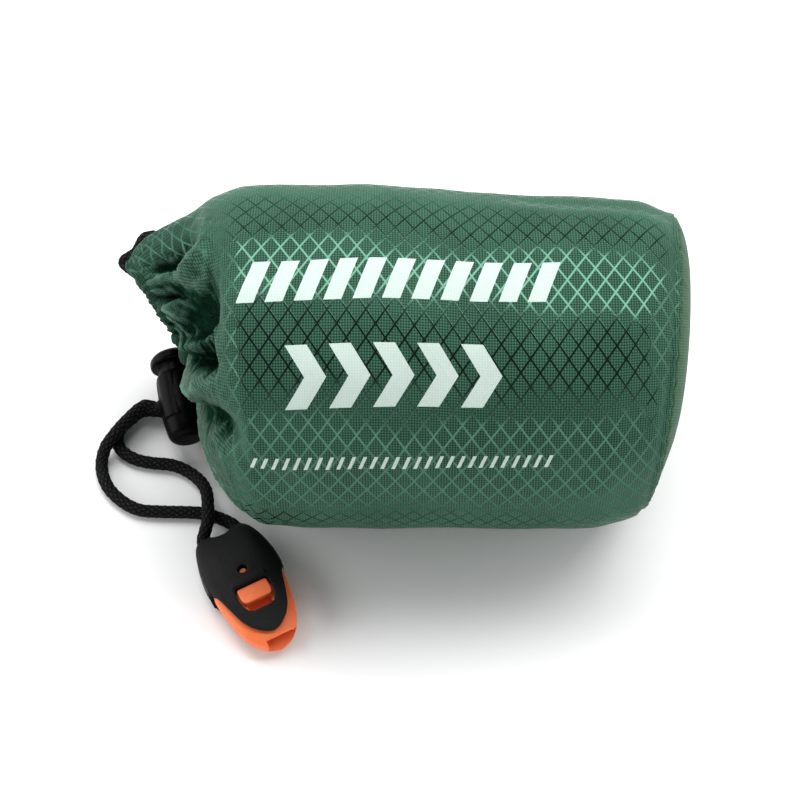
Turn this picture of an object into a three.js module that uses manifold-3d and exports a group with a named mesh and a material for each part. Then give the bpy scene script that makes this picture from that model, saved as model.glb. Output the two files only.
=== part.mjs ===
// Emergency bivy packed in its drawstring stuff sack, lying on its side, with cord lock and whistle.
// Millimetres, +Z up. The origin is on the surface under the middle of the sack. X runs along the sack from
// the cinched mouth (-X) to the round base (+X). Angles round the sack are measured from the middle line of
// its printed face, which looks forward (-Y) and up, and grow towards the back.
import * as THREE from 'three';
import { mergeVertices } from 'three/addons/utils/BufferGeometryUtils.js';
import Module from 'manifold-3d';

const wasm = await Module();
wasm.setup();

// Sack
const FACE_TILT = 30; // degrees from straight up to the middle of the face
const COLUMNS = 88;
const NECK_ROWS = 14;
const NECK_START = -66.9;
const NECK_END = -41;
const BARREL_ROWS = [-34, -26, -16, -5, 7, 19, 31, 43, 51, 57, 61, 64];
const BASE_X = 67.1; // seam of the base panel
const BASE_LEAN = 3.4; // the seam's top stands this much further out than its middle
const BASE_BULGE = { edge: 4.4, edgePower: 8, crown: 1.2 };
const BASE_DENT = { depth: 2.8, share: 0.9, spread: 0.26, angle: -80, halfWidth: 36 };
const PANEL_THICKNESS = 1.2;
const SEAM_GAP = 0.45;
const BASE_SHARES = [0.22, 0.45, 0.64, 0.8, 0.91, 1]; // rings of the base, from its middle to its seam
const FOLD_SLANT = { angle: 40, from: -52, to: -38 }; // folds of the neck are pressed back as well as in
const FOLD_WIDENING = 0.4; // share by which folds are wider at the mouth

// Mouth
const HEM_ROLL = 2.2;
const MOUTH_HOLE = 7;
const MOUTH_DEPTH = 13;

// Cord
const CORD_DIAMETER = 3.5;
const CORD_SIDES = 8;
const CORD_GAP = 0.35;
const STRAND_OFFSET = 1.85; // of each strand from the middle of the lock's hole

// Cord lock
const LOCK_CENTRE = [-63.3, 6.6, 9.2];
const LOCK_YAW = 12;
const LOCK_PITCH = 4;
const LOCK_HOLE_TILT = 38;
const LOCK_HOLE_Z = -0.5;
const LOCK_BARREL = { bottom: -13.7, top: 6.6, radius: 6.3, bore: 5.3, boreFloor: -10.6 };
const PLUNGER = { bottom: -5, head: 9.6, top: 13.7, stem: 5, headRadius: 6.9 };
const PLUNGER_TRAVEL = 2.6;

// Whistle
const WHISTLE_BASE = [-50.7, -34.2];
const WHISTLE_HEADING = 28.2; // degrees from -Y towards +X
const WHISTLE_GAP = 0.3;
const LUG_OFFSET = 5;
const LUG_HOLE_DEPTH = 7;

// Sections of the sack: centre, radius up the face, radius towards the face, lean of the section in degrees,
// and how far its face side is set back from the mouth
const SECTIONS = [
  { x: -66.9, y: 16.1, z: 38.1, rise: 17.0, depth: 17.2, lean: 31, setBack: 3.2 },
  { x: -64.6, y: 14.3, z: 38.7, rise: 21.8, depth: 21.8, lean: 19.5, setBack: 2.3 },
  { x: -61.4, y: 11.2, z: 39.3, rise: 26.5, depth: 26.5, lean: 12, setBack: 1.2 },
  { x: -57.6, y: 7.5, z: 40.0, rise: 31.3, depth: 31.0, lean: 8, setBack: 0.4 },
  { x: -52.7, y: 3.5, z: 40.6, rise: 36.8, depth: 36.8, lean: 5.6, setBack: 0 },
  { x: -47.4, y: 1.4, z: 41.8, rise: 41.5, depth: 41.5, lean: 4.6, setBack: 0 },
  { x: -38.9, y: 0.1, z: 42.2, rise: 45.2, depth: 45.2, lean: 3, setBack: 0 },
  { x: -28.0, y: 0.0, z: 42.4, rise: 45.5, depth: 45.5, lean: 1, setBack: 0 },
  { x: -12.0, y: 0.0, z: 42.6, rise: 45.7, depth: 45.7, lean: 0, setBack: 0 },
  { x: 6.7, y: -0.5, z: 42.0, rise: 45.0, depth: 45.0, lean: 0, setBack: 0 },
  { x: 20.0, y: -1.0, z: 41.3, rise: 44.4, depth: 44.3, lean: 0, setBack: 0 },
  { x: 36.0, y: -1.2, z: 41.0, rise: 44.4, depth: 44.0, lean: 0, setBack: 0 },
  { x: 52.0, y: -1.0, z: 40.6, rise: 44.0, depth: 43.4, lean: 0, setBack: 0 },
  { x: 59.0, y: -0.3, z: 40.3, rise: 43.2, depth: 42.4, lean: 0, setBack: 0 },
  { x: 64.2, y: -0.2, z: 40.2, rise: 41.6, depth: 40.4, lean: 0, setBack: 0 },
  { x: 67.1, y: -0.2, z: 40.2, rise: 39.6, depth: 38.4, lean: 0, setBack: 0 },
];

// Folds in the cloth. Each runs along a path of [x, angle, depth]; a ridge has a negative depth.
// The width is the half width in degrees round the sack.
const FOLDS = [
  {
    name: 'upper hollow',
    width: 9,
    path: [[-67, 41, 1.4], [-64, 39, 4.2], [-60, 39, 5], [-54, 43, 3.5], [-49, 46, 0]],
  },
  {
    name: 'upper flap',
    width: 6,
    path: [[-67, 30, -0.4], [-62, 31, -1.5], [-56, 38, -1], [-52, 40, 0]],
  },
  {
    name: 'deep slit',
    width: 6,
    path: [[-67, 13, 2.2], [-64, 16, 6.3], [-60, 22, 6], [-56, 26, 2], [-53, 28, 0]],
  },
  {
    name: 'long ridge',
    width: 8,
    path: [[-67, 2, -0.6], [-64, 8, -2.6], [-60, 19, -3], [-53, 36, -2.5], [-46, 43, 0]],
  },
  {
    name: 'pocket',
    width: 12,
    path: [[-67, -20, 1.4], [-64, -13, 4.4], [-57, 3, 7], [-52, 9, 8], [-48, 13, 4], [-44, 15, 0]],
  },
  {
    name: 'stitched ridge',
    width: 6,
    path: [[-67, -35, -0.8], [-62, -17, -3], [-54, 1, -3], [-48, 6, -1], [-45, 7, 0]],
  },
  {
    name: 'line under it',
    width: 5.5,
    path: [[-67, -44, 1.8], [-62, -25, 5], [-54, -9, 6.5], [-50, -5, 7], [-47, -4, 0]],
  },
  {
    name: 'front lobe',
    width: 8,
    path: [[-67, -62, -0.4], [-62, -40, -2], [-54, -17, -1.5], [-48, -13, 0]],
  },
  {
    name: 'lower valley',
    width: 8,
    path: [[-67, -84, 1.6], [-63, -68, 4], [-57, -42, 5], [-51, -30, 6.5], [-44, -29, 3], [-40, -30, 0]],
  },
  {
    name: 'dent of the lock',
    width: 17,
    path: [[-67, -122, 2.4], [-62, -122, 2.8], [-55, -118, 2.4], [-48, -115, 0]],
  },
  {
    name: 'underside pleat',
    width: 11,
    path: [[-67, -158, 2.5], [-62, -158, 5.5], [-54, -154, 2], [-48, -152, 0]],
  },
  {
    name: 'low back pleat',
    width: 8,
    path: [[-67, 178, 1.6], [-62, 176, 5], [-52, 172, 4], [-44, 170, 0]],
  },
  {
    name: 'back pleat',
    width: 8,
    path: [[-67, 147, 1.6], [-62, 146, 5.5], [-52, 143, 4], [-43, 142, 0]],
  },
  {
    name: 'upper back pleat',
    width: 7,
    path: [[-67, 116, 1.4], [-62, 118, 3.5], [-54, 120, 2.5], [-46, 120, 0]],
  },
  {
    name: 'crown pleat',
    width: 6,
    path: [[-67, 74, 0.8], [-64, 72, 0.8], [-58, 72, 0]],
  },
  {
    name: 'slack top',
    width: 7,
    path: [[22, 74, 0], [34, 71, 0.9], [54, 68, 1.2], [64, 66, 0.8], [68, 65, 0.2]],
  },
  {
    name: 'low corner',
    width: 12,
    path: [[50, -54, 0], [60, -54, 0.4], [65, -54, 0.6], [68, -54, 0.2]],
  },
  {
    name: 'upper corner',
    width: 22,
    path: [[50, 88, 0], [59, 88, 0.6], [64, 88, 1.3], [68, 88, 1.3]],
  },
];

// Angles round the sack that lie on one line of the cloth, at the mouth and on the barrel
const CLOTH_LINES = [
  { mouth: -158, barrel: -152 },
  { mouth: -122, barrel: -115 },
  { mouth: -98, barrel: -40 },
  { mouth: -82, barrel: -18 },
  { mouth: -60, barrel: -5 },
  { mouth: -46, barrel: 6 },
  { mouth: -28, barrel: 15 },
  { mouth: 0, barrel: 38 },
  { mouth: 22, barrel: 46 },
  { mouth: 43, barrel: 54 },
  { mouth: 74, barrel: 74 },
  { mouth: 116, barrel: 119 },
  { mouth: 147, barrel: 142 },
  { mouth: 178, barrel: 171 },
  { mouth: 202, barrel: 208 },
];
// How far a line has come from its angle at the mouth to that on the barrel: [x, share]
const LINE_PROGRESS = [[-71, 0], [-65.5, 0.28], [-61, 0.58], [-54, 0.9], [-46, 1]];

// Routes of the drawcord beyond the lock, as they lie on the surface
const OUTER_ROUTE = [
  [-73.6, 5.4, 6.35], [-78.6, 0.8, 5.85], [-81.9, -3.9, 5.75], [-84.1, -6.6, 4.1], [-85.2, -9.9, 2.2],
  [-84.9, -13.6, 1.8], [-82.9, -18.3, 1.8], [-80.1, -21.5, 1.8], [-76.8, -24.0, 1.8], [-73.2, -25.5, 1.8],
  [-68.0, -25.9, 1.8], [-61.0, -26.1, 1.8], [-56.5, -26.4, 1.8], [-52.6, -27.5, 1.8], [-49.2, -29.2, 2.4],
];
const INNER_ROUTE = [
  [-74.9, 6.0, 2.0], [-78.4, 3.2, 1.8], [-80.6, 0.5, 1.8], [-81.5, -2.3, 1.8], [-80.8, -5.3, 1.8],
  [-78.9, -7.6, 1.8], [-75.6, -9.5, 1.8], [-71.0, -10.6, 1.8], [-65.7, -11.2, 1.8], [-61.9, -12.7, 1.8],
  [-58.0, -15.8, 2.4], [-55.3, -20.4, 4.2], [-54.3, -26.2, 5.7], [-54.2, -30.3, 5.1],
];

// Whistle: half width of its plan, [distance from the cord end, half width]; the block fills the cover's window
const COVER_PLAN = [
  [0, 6.9], [1.6, 8.1], [5.6, 9.5], [10, 10.4], [14, 10.8], [18, 10.8], [19, 9.7], [23, 8.4], [28.2, 6.8],
  [31, 5.2], [33, 3.1], [34, 1.5], [34.4, 0],
];
const BODY_PLAN = [
  [14, 9.2], [18, 10], [22, 9.7], [27, 8.9], [30, 8.2], [32.8, 7.1], [35.6, 5.2], [37.4, 2.9], [38.3, 0],
];
const WHISTLE_WINDOW = { start: 19.6, end: 27.4, halfWidth: 4.7, frontHalfWidth: 3.1 };
const SOUND_SLOT = { start: 24.6, end: 27.4, halfWidth: 3.4, floor: 4.2 };
const WHISTLE_BLOCK = { start: 20, end: 24.6, halfWidth: 4.3, frontHalfWidth: 3.8, top: 9.5 };
const AIRWAY = { start: 27, halfWidth: 4.4, offset: -1.2, floor: 3.4, roof: 6.6 };

const black = new THREE.MeshStandardMaterial({ color: 0x17171a, roughness: 0.45, metalness: 0 });
const cordBlack = new THREE.MeshStandardMaterial({ color: 0x0f0f10, roughness: 0.9, metalness: 0 });
const green = new THREE.MeshStandardMaterial({ color: 0x3d6b58, roughness: 0.7, metalness: 0 });
const orange = new THREE.MeshStandardMaterial({ color: 0xf2693a, roughness: 0.4, metalness: 0 });

const radians = THREE.MathUtils.degToRad;
const smoothstep = THREE.MathUtils.smoothstep;
const TOWARDS_FACE = new THREE.Vector3(0, -Math.sin(radians(FACE_TILT)), Math.cos(radians(FACE_TILT)));
const UP_THE_FACE = new THREE.Vector3(0, Math.cos(radians(FACE_TILT)), Math.sin(radians(FACE_TILT)));

// A value read off rows of [position, value] by a cubic that doesn't overshoot
function readOff(rows, position) {
  if (position <= rows[0][0]) return rows[0][1];
  const last = rows.length - 1;
  if (position >= rows[last][0]) return rows[last][1];
  const i = rows.findIndex((row) => row[0] > position) - 1;
  const secant = (k) => (rows[k + 1][1] - rows[k][1]) / (rows[k + 1][0] - rows[k][0]);
  const slope = (k) => {
    if (k === 0) return secant(0);
    if (k === last) return secant(last - 1);
    const before = secant(k - 1);
    const after = secant(k);
    return before * after <= 0 ? 0 : (2 * before * after) / (before + after);
  };
  const span = rows[i + 1][0] - rows[i][0];
  const t = (position - rows[i][0]) / span;
  const fromStart = (1 + 2 * t) * (1 - t) ** 2 * rows[i][1] + t * (1 - t) ** 2 * span * slope(i);
  const fromEnd = t * t * (3 - 2 * t) * rows[i + 1][1] + t * t * (t - 1) * span * slope(i + 1);
  return fromStart + fromEnd;
}

const sectionRows = {};
for (const key of ['y', 'z', 'rise', 'depth', 'lean', 'setBack']) {
  sectionRows[key] = SECTIONS.map((section) => [section.x, section[key]]);
}
const foldRows = FOLDS.map((fold) => ({
  width: fold.width,
  angle: fold.path.map(([x, angle]) => [x, angle]),
  depth: fold.path.map(([x, , depth]) => [x, depth]),
  end: fold.path[fold.path.length - 1][0],
  start: fold.path[0][0],
}));

// How deep all folds together press the cloth in
function foldDepth(x, angle) {
  const widening = 1 + FOLD_WIDENING * (1 - readOff(LINE_PROGRESS, x));
  let sum = 0;
  for (const fold of foldRows) {
    if (x > fold.end || (x < fold.start && fold.start > NECK_END)) continue;
    let apart = angle - readOff(fold.angle, x);
    apart -= 360 * Math.round(apart / 360);
    sum += readOff(fold.depth, x) * Math.exp(-((apart / (fold.width * widening)) ** 2));
  }
  return sum;
}

// The frame of the sack's section at x
function sectionAt(x) {
  const lean = radians(readOff(sectionRows.lean, x));
  const up = UP_THE_FACE.clone().multiplyScalar(Math.cos(lean));
  up.x = -Math.sin(lean);
  const out = new THREE.Vector3(-Math.cos(lean), 0, 0);
  out.addScaledVector(UP_THE_FACE, -Math.sin(lean));
  return {
    centre: new THREE.Vector3(x, readOff(sectionRows.y, x), readOff(sectionRows.z, x)),
    rise: readOff(sectionRows.rise, x),
    depth: readOff(sectionRows.depth, x),
    setBack: readOff(sectionRows.setBack, x),
    up,
    out,
  };
}

// Share of a section's set back that a point at this turn gets: all on the face, none at the back
function faceSide(turn) {
  return ((1 + Math.cos(turn)) / 2) ** 2;
}

// A point of the cloth at a section, pulled in by inset and pushed out of the mouth by push
function clothPoint(section, angle, inset = 0, push = 0, foldScale = 1) {
  const turn = radians(angle);
  const x = section.centre.x;
  const radial = TOWARDS_FACE.clone().multiplyScalar(Math.cos(turn));
  radial.addScaledVector(section.up, Math.sin(turn));
  const point = section.centre.clone();
  point.addScaledVector(TOWARDS_FACE, section.depth * Math.cos(turn));
  point.addScaledVector(section.up, section.rise * Math.sin(turn));
  point.addScaledVector(radial, -inset).addScaledVector(section.out, push);
  const fold = foldDepth(x, angle) * foldScale;
  const along = radians(FOLD_SLANT.angle) * (1 - smoothstep(x, FOLD_SLANT.from, FOLD_SLANT.to));
  point.addScaledVector(radial, -fold * Math.cos(along));
  point.x += fold * Math.sin(along) + BASE_LEAN * Math.sin(turn) * smoothstep(x, 30, BASE_X);
  point.x += section.setBack * faceSide(turn);
  point.z = Math.max(point.z, 0);
  return point;
}

// How far the base stands out of its seam, share 0 at the middle to 1 at the seam
function baseBulge(share, angle) {
  const { depth, spread, halfWidth } = BASE_DENT;
  let apart = angle - BASE_DENT.angle;
  apart -= 360 * Math.round(apart / 360);
  const nearSeam = Math.exp(-(((share - BASE_DENT.share) / spread) ** 2)) * (1 - share ** 12);
  const full = BASE_BULGE.edge * (1 - share ** BASE_BULGE.edgePower) + BASE_BULGE.crown * (1 - share * share);
  return full - depth * nearSeam * Math.exp(-((apart / halfWidth) ** 2));
}

// A point of the base panel's outside, set back by inset along X
function basePoint(share, angle, inset) {
  const turn = radians(angle);
  const section = sectionAt(BASE_X);
  const point = section.centre.clone();
  point.addScaledVector(TOWARDS_FACE, share * section.depth * Math.cos(turn));
  point.addScaledVector(UP_THE_FACE, share * section.rise * Math.sin(turn));
  point.x += BASE_LEAN * Math.sin(turn) * share + baseBulge(share, angle) - inset;
  return point;
}

// One closed mesh from rows of points with a pole at each end
function closedLoft(startPole, rows, endPole) {
  const columns = rows[0].length;
  const points = [startPole, ...rows.flat(), endPole];
  const index = [];
  const at = (row, column) => 1 + row * columns + (column % columns);
  for (let c = 0; c < columns; c += 1) {
    index.push(0, at(0, c + 1), at(0, c));
    for (let r = 0; r + 1 < rows.length; r += 1) {
      index.push(at(r, c), at(r, c + 1), at(r + 1, c + 1));
      index.push(at(r, c), at(r + 1, c + 1), at(r + 1, c));
    }
    index.push(at(rows.length - 1, c), at(rows.length - 1, c + 1), points.length - 1);
  }
  let volume = 0;
  for (let i = 0; i < index.length; i += 3) {
    const [a, b, c] = [0, 1, 2].map((k) => points[index[i + k]]);
    volume += a.dot(new THREE.Vector3().crossVectors(b, c));
  }
  if (volume < 0) {
    index.reverse();
  }
  const geometry = new THREE.BufferGeometry();
  geometry.setAttribute('position', new THREE.Float32BufferAttribute(points.flatMap((p) => p.toArray()), 3));
  geometry.setIndex(index);
  return geometry;
}

// Columns of points follow the lines of the cloth, spaced evenly between mouth and barrel
const lineMiddles = CLOTH_LINES.map(({ mouth, barrel }) => (mouth + barrel) / 2);
const mouthRows = CLOTH_LINES.map(({ mouth }, i) => [lineMiddles[i], mouth]);
const barrelRows = CLOTH_LINES.map(({ barrel }, i) => [lineMiddles[i], barrel]);

// The angles of all columns at x
function anglesAt(x) {
  const progress = readOff(LINE_PROGRESS, x);
  return Array.from({ length: COLUMNS }, (_, c) => {
    const middle = lineMiddles[0] + (360 * c) / COLUMNS;
    return readOff(mouthRows, middle) * (1 - progress) + readOff(barrelRows, middle) * progress;
  });
}

function solidOf(geometry) {
  const bare = geometry.clone();
  bare.deleteAttribute('normal');
  bare.deleteAttribute('uv');
  const merged = mergeVertices(bare, 1e-4);
  const mesh = new wasm.Mesh({
    numProp: 3,
    vertProperties: new Float32Array(merged.attributes.position.array),
    triVerts: new Uint32Array(merged.index.array),
  });
  return new wasm.Manifold(mesh);
}

function geometryOf(solid) {
  const mesh = solid.getMesh();
  const geometry = new THREE.BufferGeometry();
  geometry.setAttribute('position', new THREE.BufferAttribute(new Float32Array(mesh.vertProperties), 3));
  geometry.setIndex(new THREE.BufferAttribute(new Uint32Array(mesh.triVerts), 1));
  return geometry;
}

function circleShape(radius, sides) {
  const shape = new THREE.Shape();
  for (let i = 0; i < sides; i += 1) {
    const turn = (2 * Math.PI * i) / sides;
    const x = radius * Math.cos(turn);
    const y = radius * Math.sin(turn);
    if (i === 0) shape.moveTo(x, y);
    else shape.lineTo(x, y);
  }
  shape.closePath();
  return shape;
}

function tube(points, radius, sides, steps) {
  const path = new THREE.CatmullRomCurve3(points, false, 'centripetal');
  const settings = { steps, extrudePath: path, bevelEnabled: false };
  return new THREE.ExtrudeGeometry(circleShape(radius, sides), settings);
}

// Cord lock frame: Z along the barrel to the button, X along the cord hole to the cloth
function makeLockFrame() {
  const yaw = radians(LOCK_YAW);
  const pitch = radians(LOCK_PITCH);
  const tilt = radians(LOCK_HOLE_TILT);
  const level = new THREE.Vector3(Math.cos(yaw), Math.sin(yaw), 0);
  const ahead = new THREE.Vector3(-Math.sin(yaw), Math.cos(yaw), 0);
  const axis = ahead.multiplyScalar(Math.cos(pitch)).setZ(Math.sin(pitch));
  const lift = new THREE.Vector3().crossVectors(level, axis);
  const hole = level.clone().multiplyScalar(Math.cos(tilt)).addScaledVector(lift, Math.sin(tilt));
  const side = new THREE.Vector3().crossVectors(axis, hole);
  return new THREE.Matrix4().makeBasis(hole, side, axis).setPosition(...LOCK_CENTRE);
}
const lockFrame = makeLockFrame();
const inLock = (x, y, z) => new THREE.Vector3(x, y, z).applyMatrix4(lockFrame);

// Whistle frame: X across it, Y from the cord end to the mouthpiece, Z up
function makeWhistleFrame() {
  const heading = radians(WHISTLE_HEADING);
  const along = new THREE.Vector3(Math.sin(heading), -Math.cos(heading), 0);
  const up = new THREE.Vector3(0, 0, 1);
  const frame = new THREE.Matrix4().makeBasis(new THREE.Vector3().crossVectors(along, up), along, up);
  return frame.setPosition(WHISTLE_BASE[0], WHISTLE_BASE[1], 0);
}
const whistleFrame = makeWhistleFrame();
const inWhistle = (x, y, z) => new THREE.Vector3(x, y, z).applyMatrix4(whistleFrame);

// The cord's two ends run from the hem through the lock and along their routes into the whistle's lugs
function strandPoints(side, route, lug) {
  const throughLock = [9.5, 5.5, 0, -5, -7.5].map((x) => inLock(x, side * STRAND_OFFSET, LOCK_HOLE_Z));
  const routePoints = route.map((p) => new THREE.Vector3(...p));
  const intoLug = [-0.6, 2, 4.6].map((y) => inWhistle(lug, y, 3.1));
  return [...throughLock, ...routePoints, ...intoLug];
}
const outerPoints = strandPoints(-1, OUTER_ROUTE, -LUG_OFFSET);
const innerPoints = strandPoints(1, INNER_ROUTE, LUG_OFFSET);

// The short stretch that shows outside the hem at the back of the mouth: [x, angle, height over the cloth]
const BACK_ROUTE = [
  [-60.5, 106, -1.5], [-62, 107, 1.2], [-63.6, 108, 3.0], [-65.6, 109, 2.1], [-67.4, 110, 3.0],
  [-68.6, 111, 1.4], [-69, 112, -1.5],
];
const backPoints = BACK_ROUTE.map(([x, angle, height]) => {
  return clothPoint(sectionAt(x), angle, -height, 0.6 * height);
});

// Rings of the mouth's inside, straight in along X
function pitRows(mouth) {
  const rings = [
    { inward: MOUTH_DEPTH, radius: 3.2, lean: 0.18 },
    { inward: MOUTH_DEPTH - 0.6, radius: 4.8, lean: 0.18 },
    { inward: 8.5, radius: 5.9, lean: 0.18 },
    { inward: 4, radius: 6.6, lean: 0.25 },
    { inward: 0.5, radius: MOUTH_HOLE, lean: 0.47 },
  ];
  return rings.map(({ inward, radius, lean }) => anglesAt(NECK_START).map((angle) => {
    const turn = radians(angle);
    const point = mouth.centre.clone();
    point.addScaledVector(TOWARDS_FACE, radius * Math.cos(turn));
    point.addScaledVector(UP_THE_FACE, radius * Math.sin(turn));
    point.x += inward - lean * radius * Math.sin(turn);
    point.x += (mouth.setBack * faceSide(turn) * radius) / mouth.depth;
    return point;
  }));
}

// Gathered hem: from the hole out to the roll, over the roll and down its outside
function hemRows(mouth) {
  const gathers = [{ share: 0.3, push: -0.5, fold: 0.45 }, { share: 0.62, push: -0.8, fold: 0.6 }];
  const rows = gathers.map(({ share, push, fold }) => anglesAt(NECK_START).map((angle) => {
    const inset = (1 - share) * (mouth.depth - MOUTH_HOLE - 1);
    return clothPoint(mouth, angle, inset, push, fold);
  }));
  for (const roll of [180, 140, 100, 60, 20]) {
    const inset = HEM_ROLL - HEM_ROLL * Math.cos(radians(roll));
    const push = HEM_ROLL * Math.sin(radians(roll));
    rows.push(anglesAt(NECK_START).map((angle) => clothPoint(mouth, angle, inset, push, 0.9)));
  }
  return rows;
}

function sackBody() {
  const mouth = sectionAt(NECK_START);
  const innermost = mouth.centre.clone();
  innermost.x += MOUTH_DEPTH + 0.4;
  const rows = [...pitRows(mouth), ...hemRows(mouth)];
  const neckRows = Array.from({ length: NECK_ROWS + 1 }, (_, i) => i / NECK_ROWS);
  const stations = neckRows.map((share) => NECK_START + (NECK_END - NECK_START) * share);
  for (const x of [...stations, ...BARREL_ROWS]) {
    rows.push(anglesAt(x).map((angle) => clothPoint(sectionAt(x), angle)));
  }
  const set = PANEL_THICKNESS + SEAM_GAP;
  for (const share of BASE_SHARES.toReversed()) {
    rows.push(anglesAt(BASE_X).map((angle) => basePoint(share, angle, set)));
  }
  let solid = solidOf(closedLoft(innermost, rows, basePoint(0, 0, set)));
  const room = CORD_DIAMETER / 2 + CORD_GAP;
  for (const side of [-1, 1]) {
    const points = [3, 6, 10.2].map((x) => inLock(x, side * STRAND_OFFSET, LOCK_HOLE_Z));
    solid = solid.subtract(solidOf(tube(points, room, CORD_SIDES, 2)));
  }
  const reach = (end, next) => end.clone().addScaledVector(end.clone().sub(next).normalize(), CORD_GAP);
  const last = backPoints.length - 1;
  const longer = [
    reach(backPoints[0], backPoints[1]),
    ...backPoints.slice(1, last),
    reach(backPoints[last], backPoints[last - 1]),
  ];
  return geometryOf(solid.subtract(solidOf(tube(longer, room, CORD_SIDES, 12))));
}

function endPanel() {
  const face = (inset) => BASE_SHARES.map((share) => {
    return anglesAt(BASE_X).map((angle) => basePoint(share, angle, inset));
  });
  const rows = [...face(0), ...face(PANEL_THICKNESS).reverse()];
  return closedLoft(basePoint(0, 0, 0), rows, basePoint(0, 0, PANEL_THICKNESS));
}

// A slot for both strands, along the lock's hole axis
function strandSlot(from, to, halfLength) {
  const half = STRAND_OFFSET + CORD_DIAMETER / 2 + CORD_GAP;
  const shape = new THREE.Shape();
  shape.moveTo(from, -half);
  shape.lineTo(to, -half);
  shape.lineTo(to, half);
  shape.lineTo(from, half);
  shape.closePath();
  const slot = new THREE.ExtrudeGeometry(shape, { depth: 2 * halfLength, bevelEnabled: false });
  slot.translate(0, 0, -halfLength);
  // Shape X becomes the lock's Z, shape Y its Y, and the depth its X
  slot.applyMatrix4(new THREE.Matrix4().set(0, 0, 1, 0, 0, 1, 0, 0, -1, 0, 0, 0, 0, 0, 0, 1));
  return solidOf(slot);
}

function lathed(profile, sides) {
  const lathe = new THREE.LatheGeometry(profile.map(([r, z]) => new THREE.Vector2(r, z)), sides);
  lathe.rotateX(Math.PI / 2);
  return solidOf(lathe);
}

function lockBarrel() {
  const { bottom, top, radius, bore, boreFloor } = LOCK_BARREL;
  const profile = [
    [0, bottom], [radius - 3.4, bottom], [radius - 1.9, bottom + 0.5], [radius - 1, bottom + 1.6],
    [radius - 0.7, bottom + 3.2], [radius - 0.1, bottom + 8], [radius, bottom + 12],
    [radius - 0.2, top - 1.6], [radius - 0.5, top - 0.4], [radius - 0.8, top],
    [bore, top], [bore, boreFloor], [0, boreFloor],
  ];
  const half = CORD_DIAMETER / 2 + CORD_GAP;
  const slot = strandSlot(-(LOCK_HOLE_Z + half), -(LOCK_HOLE_Z - half), radius + 2);
  return geometryOf(lathed(profile, 32).subtract(slot));
}

function lockPlunger() {
  const { bottom, head, top, stem, headRadius } = PLUNGER;
  const profile = [
    [0, bottom], [stem - 0.5, bottom], [stem, bottom + 0.5], [stem, head], [headRadius - 0.5, head],
    [headRadius, head + 0.6], [headRadius, top - 2.3], [headRadius - 0.4, top - 1.4],
    [headRadius - 1.4, top - 0.6], [headRadius - 3.2, top - 0.1], [0, top],
  ];
  const half = CORD_DIAMETER / 2 + CORD_GAP;
  const slot = strandSlot(-(LOCK_HOLE_Z + half + PLUNGER_TRAVEL), -(LOCK_HOLE_Z - half), stem + 2);
  return geometryOf(lathed(profile, 32).subtract(slot));
}

// A pillow-like solid along the whistle, from rows of [y, half width, low side, high side]
function pillow(rows, sides, squareness) {
  const ring = ([y, half, low, high]) => Array.from({ length: sides }, (_, i) => {
    const turn = (2 * Math.PI * i) / sides;
    const c = Math.cos(turn);
    const s = Math.sin(turn);
    const across = half * Math.sign(c) * Math.abs(c) ** squareness;
    const height = ((high - low) / 2) * Math.sign(s) * Math.abs(s) ** squareness;
    return new THREE.Vector3(across, y, (low + high) / 2 + height);
  });
  const pole = ([y, , low, high]) => new THREE.Vector3(0, y, (low + high) / 2);
  const loft = closedLoft(pole(rows[0]), rows.map(ring), pole(rows[rows.length - 1]));
  return solidOf(loft);
}

// An upright prism from an outline of [x, y]
function prism(outline, low, high) {
  const shape = new THREE.Shape(outline.map(([x, y]) => new THREE.Vector2(x, y)));
  const geometry = new THREE.ExtrudeGeometry(shape, { depth: high - low, bevelEnabled: false });
  geometry.translate(0, 0, low);
  return solidOf(geometry);
}

function planOutline(plan) {
  const right = plan.map(([y, half]) => [half, y]);
  const left = plan.filter(([, half]) => half > 0).map(([y, half]) => [-half, y]).reverse();
  return [...right, ...left];
}

function box(x0, x1, y0, y1, z0, z1) {
  return prism([[x0, y0], [x1, y0], [x1, y1], [x0, y1]], z0, z1);
}

function bodyRows(grow) {
  const low = [[14, 2.6], [18, 2.0], [27, 1.9], [33, 2.0], [36.4, 2.4], [38, 3.3]];
  const high = [[14, 7.6], [18, 8.3], [27, 8.4], [33, 8.1], [36.4, 7.5], [38, 6.4]];
  return [14, 16, 18, 22, 26, 30, 32.8, 35, 36.6, 37.7, 38.2].map((y) => {
    const half = Math.max(readOff(BODY_PLAN, y), 0.8);
    return [y, half + grow, readOff(low, y) - grow, readOff(high, y) + grow];
  });
}

function whistleBody() {
  const airway = box(AIRWAY.offset - AIRWAY.halfWidth, AIRWAY.offset + AIRWAY.halfWidth, AIRWAY.start, 40,
    AIRWAY.floor, AIRWAY.roof);
  const sound = box(-SOUND_SLOT.halfWidth, SOUND_SLOT.halfWidth, SOUND_SLOT.start, SOUND_SLOT.end,
    SOUND_SLOT.floor, 10);
  const b = WHISTLE_BLOCK;
  const block = prism([[-b.halfWidth, b.start], [b.halfWidth, b.start], [b.halfWidth + 0.2, b.end - 1.4],
    [b.frontHalfWidth, b.end], [-b.frontHalfWidth, b.end], [-b.halfWidth - 0.2, b.end - 1.4]], 6.6, b.top);
  return geometryOf(pillow(bodyRows(0), 28, 0.62).add(block).subtract(airway).subtract(sound));
}

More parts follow.
